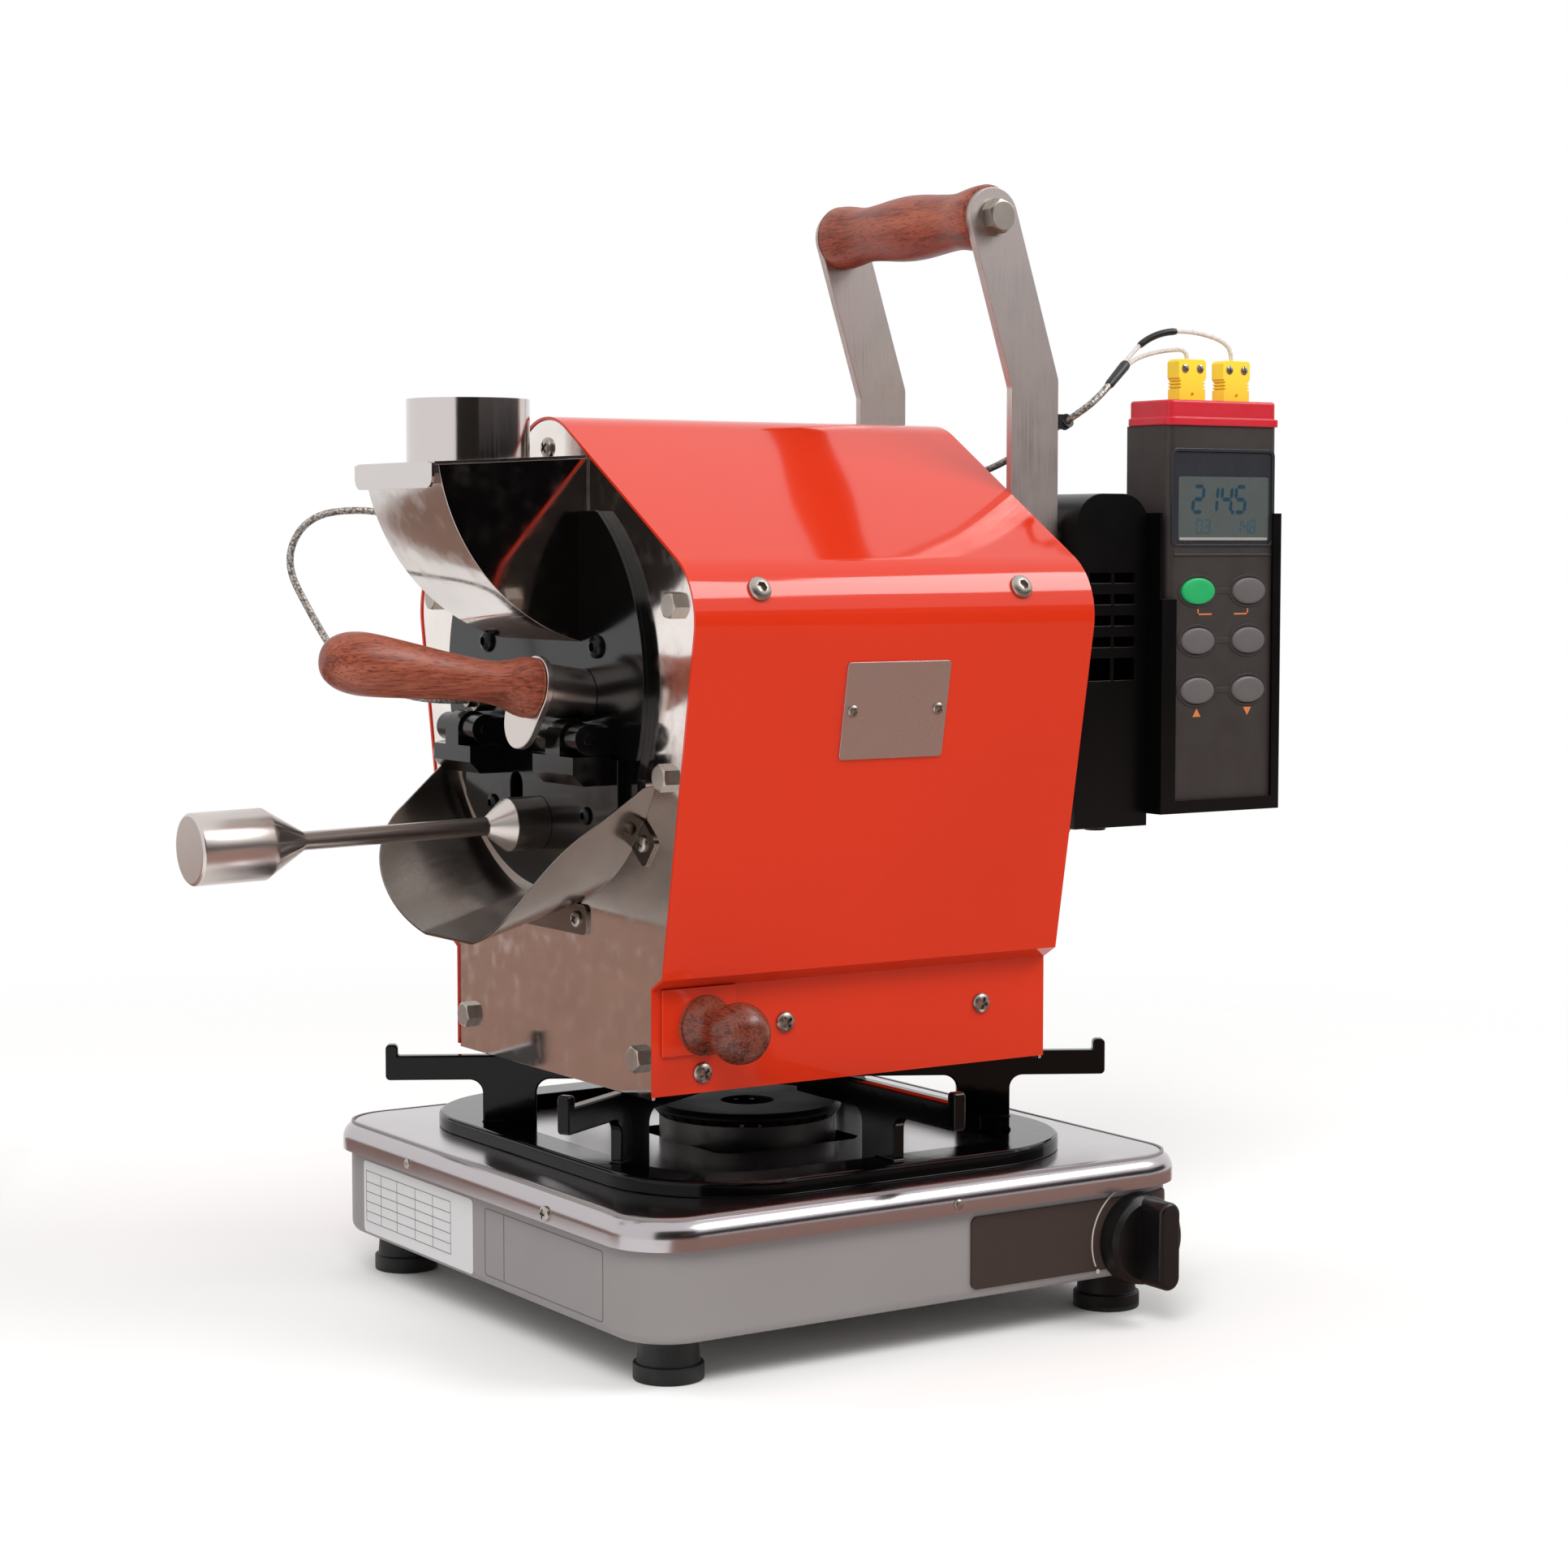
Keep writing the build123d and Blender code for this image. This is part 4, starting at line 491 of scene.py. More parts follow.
# Nickel silver plate brushed upright: a warm grey with close streaks.
LABEL_SHEET = Brushed("brushed nickel silver plate", "#D2C9C5", 0.34, 1.0, along=Along.Z, streak=0.35)
# Stainless bar finished by a light cut: the rings are too shallow to see and only stretch its highlights.
TURNED_BAR = Turned("turned stainless bar", "#D3CAC5", 0.29, 1.0, depth=0.0003)
# Stainless tube, drawn and linished: streaks run up it and smear what it mirrors sideways.
TUBE_SHEET = Brushed("linished stainless tube", "#CFC8C6", 0.14, 1.0, along=Along.Z, streak=1.1,
                     depth=0.008)
# Screw steel, zinc plated: a soft grey shine, a little warm.
SCREW_STEEL = Finish("zinc plated screw steel", "#B4ACA4", 0.36, 1.0)
# Mild steel with the scale of hot rolling: dark and dull, streaked by the rolls.
DULL_STEEL = Brushed("hot rolled mild steel", "#6F6B68", 0.45, 1.0, along=Along.Y)
# Aluminium, blasted, black anodised and sealed: a dark mirror with a faint texture.
ANODISED = Moulded("black anodised aluminium", "#060606", 0.14, specular=0.38, grain=0.9, depth=0.003)
# Screw steel blackened in a hot bath: nearly black, with the sharp highlights of metal.
BLACK_SCREW = Finish("blackened screw steel", "#101010", 0.3, 0.6)
# Bubinga turned and oiled: red-brown and streaky with dark pores, under a low sheen.
GRIP_WOOD = Wood("oiled bubinga", "#8E4835", 0.42, specular=0.35, along=Along.X)
# The same wood turned along the trier: its grain runs from the flange to the tip.
TRIER_WOOD = Wood("oiled bubinga spindle", "#8E4632", 0.4, specular=0.4, along=Along.Y)
# Rosewood turned and burnished: darker, closer in tone and glossier.
KNOB_WOOD = Wood("oiled rosewood", "#783B2A", 0.28, specular=0.5, along=Along.X, dark="#43190F",
                 light="#74372A")
# Folded sheet sprayed satin black: even and dark, with a soft sheen.
BLACK_SHEET = PowderCoat("satin black painted sheet", "#060606", 0.3, specular=0.3, peel=1.0, depth=0.003)
# Deep drawn sheet with a stoved grey enamel: flat and hardly glossy.
GREY_BODY = PowderCoat("grey stoved enamel sheet", "#8C8786", 0.42, specular=0.3, peel=1.2, depth=0.003)
# Sheet screen printed dark brown: a thin, matt ink.
BROWN_PANEL = PowderCoat("brown screen printed panel", "#3E322E", 0.4, specular=0.2, peel=1.0, depth=0.002)
# Cast iron under vitreous enamel: thick black glass with soft dips, so its highlights wander.
ENAMEL = PowderCoat("vitreous enamelled cast iron", "#040404", 0.1, specular=0.22, peel=5.0, depth=0.02)
# Pressed steel under a matt enamel: black with no more than a haze of light on it.
CAP_ENAMEL = PowderCoat("matt enamelled burner cap", "#0B0B0C", 0.5, specular=0.2, peel=2.0, depth=0.01)
# Rubber moulded black: dull and faintly grained.
RUBBER = Moulded("moulded black rubber", "#0C0C0C", 0.6, grain=0.9)
# Phenolic moulded in a smooth tool: black with a low gloss.
KNOB_PLASTIC = Moulded("moulded black knob phenolic", "#0C0C0C", 0.34, grain=0.8, depth=0.006)
# Aluminium die cast and left raw: grey, dull and coarse.
CAST_METAL = Moulded("die cast aluminium", "#63605E", 0.5, 1.0, grain=1.2, depth=0.03)
# Brass bar machined and left bright: yellow, with the tool's streaks.
BRASS = Brushed("machined brass", "#B08D4F", 0.3, 1.0, along=Along.Y)
# ABS moulded in a spark-eroded tool: charcoal, dull and evenly grained.
CASE_PLASTIC = Moulded("moulded charcoal ABS", "#322C2A", 0.5, grain=0.7, depth=0.012)
# ABS moulded in a smoother tool: red and half glossy.
CAP_PLASTIC = Moulded("moulded red ABS", "#C4202E", 0.36, grain=0.8, depth=0.004)
# Silicone rubber moulded in colour: soft highlights without a sharp edge.
GREY_KEY = Moulded("moulded grey silicone key", "#5D5858", 0.5, grain=0.6, depth=0.004)
GREEN_KEY = Moulded("moulded green silicone key", "#14A35C", 0.45, grain=0.6, depth=0.004)
# ABS moulded against polished steel: black and glossy.
BEZEL_PLASTIC = Moulded("polished black ABS window", "#2E2F33", 0.25, grain=2.0, depth=0.001)
# Liquid crystal glass over a grey reflector: a dim grey-green without light of its own.
SCREEN_GLASS = Finish("reflective liquid crystal glass", "#4E5452", 0.3)
# Liquid crystal segments that are on: blue-black, and paler where they are small and thin.
DIGIT_INK = Finish("liquid crystal segment", "#17394A", 0.35)
FAINT_INK = Finish("liquid crystal small segment", "#2F4C57", 0.4)
# The bevelled lower edge of the window: the light that it catches is painted on it as a flat pale grey.
SILL_HIGHLIGHT = Finish("window sill painted highlight", "#9A9490", 0.4)
# Pad printed ink: flat orange.
ORANGE_INK = Finish("orange pad print", "#C9743A", 0.5)
# Nylon moulded in colour: a waxy, slightly glossy yellow.
PLUG_PLASTIC = Moulded("moulded yellow nylon", "#F8D838", 0.4, grain=0.8, depth=0.004)
# Fine stainless wire braided round the lead: grey, glinting strands, drawn wider than they are.
LEAD_BRAID = Braid("braided stainless lead", "#C9C1B9", 0.45, 0.6)
# Glass yarn woven round a wire: off-white and matt, with a faint painted shade in the gaps between its
# strands.
WIRE_YARN = Braid("woven glass yarn sleeve", "#E2DAD4", 0.7, 0.0, strand=0.7, tracer="#CFC5BD",
                  gap_shade="#C2B8B0")
# Polyolefin sleeve shrunk by heat: black and smooth, half matt.
SHRINK = Finish("heat shrunk black sleeve", "#151517", 0.42)
# Ink screened onto the panel: flat white.
MARK_WHITE = Finish("white screen print", "#B9B4B0", 0.5)
# Vinyl film stuck to the stove: white with a slight sheen, printed with grey ink.
LABEL_FILM = Finish("white vinyl label", "#CDCBCC", 0.4)
LABEL_INK = Finish("grey label ink", "#5E5C5C", 0.5)


# ------------------------------------------------------------------ meshes
SAME_SPOT = 1e-6  # metres; drawn points nearer than this are one
SAME_CAD_SPOT = 2e-7
FLAT_TURN = 0.3  # degrees; triangles of a CAD face that turn by less are one face
EDGE_TURN = 35.0  # degrees; an edge that turns by more is sharp
HEX_TURN = 20.0  # the same for a hexagon head, so that its chamfer shows
HOB_TURN = 40.0  # the same for the hob's plate
SOFT_TURN = 50.0  # the same for a turned grip or a domed key
SLEEVE_TURN = 60.0  # the same for a shrunk sleeve


def linked(name: str, data: bpy.types.Mesh | bpy.types.Curve) -> Piece:
    """Put a mesh or a curve into the scene.

    Args:
        name: The piece's name.
        data: Its mesh or curve, with its place in it.

    Returns:
        The piece, with its object at the origin.
    """
    piece = bpy.data.objects.new(name, data)
    bpy.context.scene.collection.objects.link(piece)
    return piece


def smoothed(mesh: bpy.types.Mesh) -> None:
    """Shade every face of a mesh smooth."""
    mesh.polygons.foreach_set("use_smooth", [True] * len(mesh.polygons))


def mended(mesh: bpy.types.Mesh, spot: float, flat: float = 0.0) -> None:
    """Close a mesh and turn its faces outwards.

    Args:
        mesh: The mesh.
        spot: Points nearer than this, in metres, become one.
        flat: Faces that turn by less than this, in degrees, become one; zero leaves them.
    """
    shell = bmesh.new()
    shell.from_mesh(mesh)
    bmesh.ops.remove_doubles(shell, verts=shell.verts, dist=spot)
    if flat:
        bmesh.ops.dissolve_limit(shell, angle_limit=math.radians(flat), verts=shell.verts, edges=shell.edges)
    bmesh.ops.recalc_face_normals(shell, faces=shell.faces)
    shell.to_mesh(mesh)
    shell.free()


def piece_of(name: str, points: Sequence[Place], faces: list[list[int]], solid: bool = True) -> Piece:
    """Make a smooth piece from points in millimetres.

    Args:
        name: The piece's name.
        points: Its points in the shared frame.
        faces: Its faces by point number.
        solid: Whether it is a closed shape, whose faces are to look outwards.

    Returns:
        The piece.
    """
    mesh = bpy.data.meshes.new(name)
    mesh.from_pydata([tuple(c * MM for c in p) for p in points], [], faces)
    if solid:
        mended(mesh, SAME_SPOT)
    smoothed(mesh)
    return linked(name, mesh)


def joined(name: str, *pieces: Piece) -> Piece:
    """Join pieces into one.

    Args:
        name: Name of the new piece.
        *pieces: What it is made of; they are dropped.

    Returns:
        The new piece.
    """
    shell = bmesh.new()
    for piece in pieces:
        shell.from_mesh(piece.data)
    mesh = bpy.data.meshes.new(name)
    shell.to_mesh(mesh)
    shell.free()
    for piece in pieces:
        bpy.data.objects.remove(piece)
    smoothed(mesh)
    return linked(name, mesh)


def sharpened(piece: Piece, degrees: float = EDGE_TURN) -> Piece:
    """Mark a piece's edges as sharp.

    Args:
        piece: The piece.
        degrees: Edges that turn by less stay smooth.

    Returns:
        The same piece.
    """
    piece.data.set_sharp_from_angle(angle=math.radians(degrees))
    return piece


def bevelled(piece: Piece, width: float, segments: int = 2) -> Piece:
    """Round a piece's sharp edges with a live bevel.

    Args:
        piece: The piece.
        width: Width of the bevel in millimetres.
        segments: Its steps.

    Returns:
        The same piece.
    """
    bevel = piece.modifiers.new("edge", "BEVEL")
    bevel.width = width * MM
    bevel.segments = segments
    bevel.limit_method = "ANGLE"
    bevel.angle_limit = math.radians(EDGE_TURN)
    bevel.harden_normals = True
    bevel.use_clamp_overlap = True
    return piece


def refined(node: str) -> Piece:
    """Copy a CAD node as a closed mesh without the edges inside its flat faces.

    Args:
        node: The CAD node.

    Returns:
        The new piece, named after the node.
    """
    mesh = frame["nodes"][node].data.copy()
    mended(mesh, SAME_CAD_SPOT, FLAT_TURN)
    if mesh.has_custom_normals:
        mesh.attributes.remove(mesh.attributes["custom_normal"])
    smoothed(mesh)
    return linked("fine_" + node, mesh)


def settled(piece: Piece, finish: Finish, body: str, slot: str, *nodes: str) -> Piece:
    """Dress a piece and say what it is.

    Args:
        piece: The piece.
        finish: Its finish.
        body: The CAD body that it rides on.
        slot: The material slot that it belongs to; not used.
        *nodes: The CAD nodes that it stands for.

    Returns:
        The same piece.
    """
    piece.data.materials.clear()
    piece.data.materials.append(finish.material())
    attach(piece, body)
    if nodes:
        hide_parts(*nodes)
    LOG.info("%s rides on %s in %s", piece.name, body, finish.name)
    return piece


def fine(node: str, finish: Finish, width: float, segments: int = 2) -> Piece:
    """Replace a CAD node by its refined copy with rounded edges.

    Args:
        node: The CAD node.
        finish: Its finish.
        width: Width of the rounding in millimetres.
        segments: Its steps.

    Returns:
        The piece that stands for the node, on the same body.
    """
    piece = bevelled(refined(node), width, segments)
    return settled(piece, finish, frame["nodes"][node]["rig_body"], SLOTS[node], node)


def kept(node: str, finish: Finish) -> None:
    """Keep a CAD node as it is and give it a finish.

    Args:
        node: The CAD node.
        finish: Its finish.
    """
    mesh = frame["nodes"][node].data
    mesh.materials.clear()
    mesh.materials.append(finish.material())
    LOG.info("%s stays in %s", node, finish.name)


def bands(rows: Sequence[int], count: int) -> list[list[int]]:
    """Give the faces between rings of points.

    Args:
        rows: The rings in the order in which they are joined; ring 2 holds the third lot of points.
        count: Points in each ring.

    Returns:
        Four-sided faces by point number.
    """
    faces = []
    for low, high in zip(rows, rows[1:]):
        for i in range(count):
            j = (i + 1) % count
            faces.append([low * count + i, low * count + j, high * count + j, high * count + i])
    return faces


def capped(rows: int, count: int) -> list[list[int]]:
    """Give the faces of a bar made of rings of points, with both its ends.

    Args:
        rows: How many rings follow each other.
        count: Points in each ring.

    Returns:
        The faces by point number.
    """
    last = (rows - 1) * count
    ends = [list(range(count - 1, -1, -1)), list(range(last, last + count))]
    return bands(range(rows), count) + ends


def lathe(name: str, outline: Sequence[Point], origin: Place, direction: Place, steps: int = 96) -> Piece:
    """Turn an outline of (radius, height) about an axis.

    Args:
        name: The piece's name.
        outline: Points from one end of the axis to the other, in millimetres.
        origin: Where height zero lies.
        direction: The way the axis looks.
        steps: Faces round it.

    Returns:
        The closed piece.
    """
    turn = Matrix.Translation(origin) @ Vector(direction).to_track_quat("Z", "Y").to_matrix().to_4x4()
    points: list[Place] = []
    rings: list[list[int]] = []
    for radius, height in outline:
        count = steps if radius else 1
        rings.append(list(range(len(points), len(points) + count)))
        for angle in (2 * math.pi * i / steps for i in range(count)):
            points.append(tuple(turn @ Vector((radius * math.cos(angle), radius * math.sin(angle), height))))
    faces = []
    for low, high in zip(rings, rings[1:]):
        for i in range(steps):
            corners = [low[i % len(low)], low[(i + 1) % len(low)], high[(i + 1) % len(high)],
                       high[i % len(high)]]
            face = list(dict.fromkeys(corners))
            if len(face) > 2:
                faces.append(face)
    return piece_of(name, points, faces)


def smooth_line(knots: Sequence[Point], steps: int) -> list[Point]:
    """Draw a smooth curve through points (Catmull-Rom).

    Args:
        knots: The points.
        steps: Steps between two of them.

    Returns:
        Points along the curve.
    """
    ends = [knots[0], *knots, knots[-1]]
    line = []
    for a, b, c, d in zip(ends, ends[1:], ends[2:], ends[3:]):
        for i in range(steps):
            t = i / steps
            line.append(tuple(0.5 * (2 * q + (r - p) * t + (2 * p - 5 * q + 4 * r - s) * t ** 2
                                     + (3 * q - p - 3 * r + s) * t ** 3) for p, q, r, s in zip(a, b, c, d)))
    return [*line, knots[-1]]


def rectangle(u0: float, u1: float, v0: float, v1: float, radius: float = 0.0, steps: int = 6
              ) -> list[Point]:
    """Outline a rectangle with rounded corners.

    Args:
        u0: Its lowest first coordinate.
        u1: Its highest.
        v0: Its lowest second coordinate.
        v1: Its highest.
        radius: Radius of the corners; zero leaves them sharp.
        steps: Steps of each corner's arc.

    Returns:
        The outline's points.
    """
    spots = [(u0, v0), (u1, v0), (u1, v1), (u0, v1)]
    if not radius:
        return spots
    corners = [Vector(spot) for spot in spots]
    line: list[Point] = []
    for i, here in enumerate(corners):
        before = (corners[i - 1] - here).normalized()
        after = (corners[(i + 1) % 4] - here).normalized()
        half = before.angle(after) / 2
        reach = radius / math.tan(half)
        middle = here + (before + after).normalized() * (radius / math.sin(half))
        start, end = here + before * reach - middle, here + after * reach - middle
        sweep = start.angle_signed(end)
        for k in range(steps + 1):
            turned = start.copy()
            turned.rotate(Matrix.Rotation(-sweep * k / steps, 2))
            line.append(tuple(middle + turned))
    return line


def oval(middle: Point, half_u: float, half_v: float, steps: int = 48) -> list[Point]:
    """Outline an ellipse.

    Args:
        middle: Its middle.
        half_u: Half its width.
        half_v: Half its height.
        steps: Points on it.

    Returns:
        The outline's points.
    """
    turns = [2 * math.pi * i / steps for i in range(steps)]
    return [(middle[0] + half_u * math.cos(t), middle[1] + half_v * math.sin(t)) for t in turns]


def prism(name: str, outline: Sequence[Point], low: float, high: float, along: Along) -> Piece:
    """Raise a closed outline along an axis.

    Args:
        name: The piece's name.
        outline: Points on the other two axes, in their order in (X, Y, Z).
        low: Where it starts.
        high: Where it ends.
        along: The axis.

    Returns:
        The closed piece.
    """
    points = along.raised(outline, low) + along.raised(outline, high)
    return piece_of(name, points, capped(2, len(outline)))


def hoop(name: str, outer: Sequence[Point], inner: Sequence[Point], low: float, high: float, along: Along
         ) -> Piece:
    """Raise the band between two outlines with the same number of points.

    Args:
        name: The piece's name.
        outer: The outline outside.
        inner: The outline inside.
        low: Where it starts.
        high: Where it ends.
        along: The axis.

    Returns:
        The closed piece.
    """
    points = [place for line in (outer, inner) for level in (low, high)
              for place in along.raised(line, level)]
    return piece_of(name, points, bands((0, 1, 3, 2, 0), len(outer)))


def plain(piece: Piece, *helpers: Piece) -> Piece:
    """Turn a piece and its modifiers into a plain mesh.

    Args:
        piece: The piece.
        *helpers: Pieces that its modifiers read; they are dropped.

    Returns:
        The same piece.
    """
    bpy.context.view_layer.update()
    graph = bpy.context.evaluated_depsgraph_get()
    mesh = bpy.data.meshes.new_from_object(piece.evaluated_get(graph))
    piece.modifiers.clear()
    piece.data = mesh
    for helper in helpers:
        bpy.data.objects.remove(helper)
    return piece


def cut_by(piece: Piece, cutter: Piece, how: str = "DIFFERENCE") -> Piece:
    """Cut a piece by another and drop the cutter.

    Args:
        piece: The piece.
        cutter: The piece that cuts.
        how: Blender's name of the operation.

    Returns:
        The cut piece, as a plain mesh.
    """
    knife = piece.modifiers.new("cut", "BOOLEAN")
    knife.operation = how
    knife.solver = "EXACT"
    knife.object = cutter
    return plain(piece, cutter)


# ------------------------------------------------------------------ fasteners
@dataclass(frozen=True)
class Fastener:
    """A head that stands on a surface at +Z, made once and set on many seats.

    Its sizes are millimetres; the shares are of its radius, and of its height for rim and bed.
    """

    name: str
    radius: float
    height: float
    recess: Recess = Recess.NONE
    flats: bool = False
    collar: float = 0.0
    collar_drop: float = 1.6
    rim: float = 0.22
    bed: float = 0.25
    socket: float = 0.46
    blade: Point = (0.6, 0.17)
    crown: float = 0.94
    chamfer: float = 30.0
    steps: int = 48

    def head(self) -> Piece:
        """Build one head at the origin.

        Returns:
            The closed head.
        """
        if self.flats:
            return self.hexagon()
        rim = self.rim * self.height
        dome = [(0.0, 0.0), (self.radius, 0.0), (self.radius, rim)]
        for angle in (math.radians(degrees) for degrees in range(10, 90, 10)):
            dome.append((self.radius * math.cos(angle), rim + (self.height - rim) * math.sin(angle)))
        dome.append((0.0, self.height))
        head = lathe(self.name, dome, (0, 0, 0), (0, 0, 1), 32)
        if self.recess is not Recess.NONE:
            bed = self.bed * self.height
            head = cut_by(head, prism("driver", self.driver(), bed, self.height + 1, Along.Z))
        return sharpened(head)

    def driver(self) -> list[Point]:
        """Outline the room that the driver takes.

        Returns:
            Points about the head's axis.
        """
        long, wide = (share * self.radius for share in self.blade)
        if self.recess is Recess.HEX_SOCKET:
            return oval((0, 0), self.socket * self.radius, self.socket * self.radius, 6)
        if self.recess is Recess.SLOT:
            return rectangle(-2 * self.radius, 2 * self.radius, -wide, wide)
        return [(long, wide), (wide, wide), (wide, long), (-wide, long), (-wide, wide), (-long, wide),
                (-long, -wide), (-wide, -wide), (-wide, -long), (wide, -long), (wide, -wide), (long, -wide)]

    def hexagon(self) -> Piece:
        """Build a hexagon head with its turned chamfer, on a collar if it has one.

        Returns:
            The closed head.
        """
        crown = self.crown * self.radius
        rings: list[list[Place]] = [[], [], [], []]
        for angle in (2 * math.pi * i / self.steps for i in range(self.steps)):
            away = (angle + math.pi / 6) % (math.pi / 3) - math.pi / 6
            reach = self.radius / math.cos(away)
            drop = max(0.0, reach - crown) * math.tan(math.radians(self.chamfer))
            levels = ((reach, 0.0), (reach, self.height - drop), (crown, self.height), (0.0, self.height))
            for ring, (radius, height) in zip(rings, levels):
                ring.append((radius * math.cos(angle), radius * math.sin(angle), height))
        faces = bands(range(4), self.steps) + [list(range(self.steps - 1, -1, -1))]
        head = piece_of(self.name, [place for ring in rings for place in ring], faces)
        if self.collar:
            top, foot = -0.01, -self.collar_drop
            edge = [(0, top), (self.collar, top), (self.collar, foot), (0, foot)]
            head = joined(self.name, head, lathe("collar", edge, (0, 0, 0), (0, 0, 1), self.steps))
        return sharpened(head, HEX_TURN)

    def tree(self) -> bpy.types.NodeTree:
        """Build the nodes that set a head on every seat, turned to look the way the seat does.

        Returns:
            The Geometry Nodes tree.
        """
        tree = bpy.data.node_groups.new(self.name + " on seats", "GeometryNodeTree")
        for name, kind in (("Seats", "Geometry"), ("Head", "Object"), ("Head size", "Float"),
                           ("Turn range", "Float"), ("Seed", "Int"), ("Finish", "Material")):
            tree.interface.new_socket(name, in_out="INPUT", socket_type="NodeSocket" + kind)
        tree.interface.new_socket("Heads", in_out="OUTPUT", socket_type="NodeSocketGeometry")
        given = add(tree, "NodeGroupInput").outputs
        head = add(tree, "GeometryNodeObjectInfo", {"Object": given["Head"], "As Instance": True})
        looks = add(tree, "GeometryNodeInputNamedAttribute", {"Name": "looks"}, data_type="FLOAT_VECTOR")
        aimed = add(tree, "FunctionNodeAlignRotationToVector", {"Vector": looks.outputs[0]}, axis="Z")
        chance = add(tree, "FunctionNodeRandomValue", {"Max": given["Turn range"], "Seed": given["Seed"]},
                     data_type="FLOAT")
        spin = add(tree, "ShaderNodeCombineXYZ", {"Z": chance.outputs[1]})
        turned = add(tree, "FunctionNodeRotateRotation", {
            "Rotation": aimed.outputs[0], "Rotate By": spin.outputs[0]}, rotation_space="LOCAL")
        heads = add(tree, "GeometryNodeInstanceOnPoints", {
            "Points": given["Seats"], "Instance": head.outputs["Geometry"], "Rotation": turned.outputs[0],
            "Scale": given["Head size"]})
        real = add(tree, "GeometryNodeRealizeInstances", {"Geometry": heads.outputs[0]})
        dressed = add(tree, "GeometryNodeSetMaterial", {
            "Geometry": real.outputs[0], "Material": given["Finish"]})
        add(tree, "NodeGroupOutput", {0: dressed.outputs[0]})
        return tree

    def on(self, name: str, seats: Sequence[Seat], finish: Finish, turn: float = 6.28, seed: int = 7
           ) -> Piece:
        """Set the head on seats.

        Args:
            name: The piece's name.
            seats: Places in millimetres and the way each looks.
            finish: The heads' finish.
            turn: The most that a head is turned about its own axis, in radians.
            seed: Seed of the turns.

        Returns:
            A plain mesh with every head.
        """
        mesh = bpy.data.meshes.new(name)
        mesh.from_pydata([tuple(c * MM for c in place) for place, _ in seats], [], [])
        looks = mesh.attributes.new("looks", "FLOAT_VECTOR", "POINT")
        looks.data.foreach_set("vector", [c for _, direction in seats for c in direction])
        piece = linked(name, mesh)
        head = self.head()
        maker = piece.modifiers.new("heads", "NODES")
        maker.node_group = self.tree()
        values = {"Head": head, "Head size": 1.0, "Turn range": turn, "Seed": seed,
                  "Finish": finish.material()}
        for item in maker.node_group.interface.items_tree:
            if item.in_out == "INPUT" and item.name in values:
                maker[item.identifier] = values[item.name]
        made = plain(piece, head)
        smoothed(made.data)
        return sharpened(made, HEX_TURN if self.flats else EDGE_TURN)


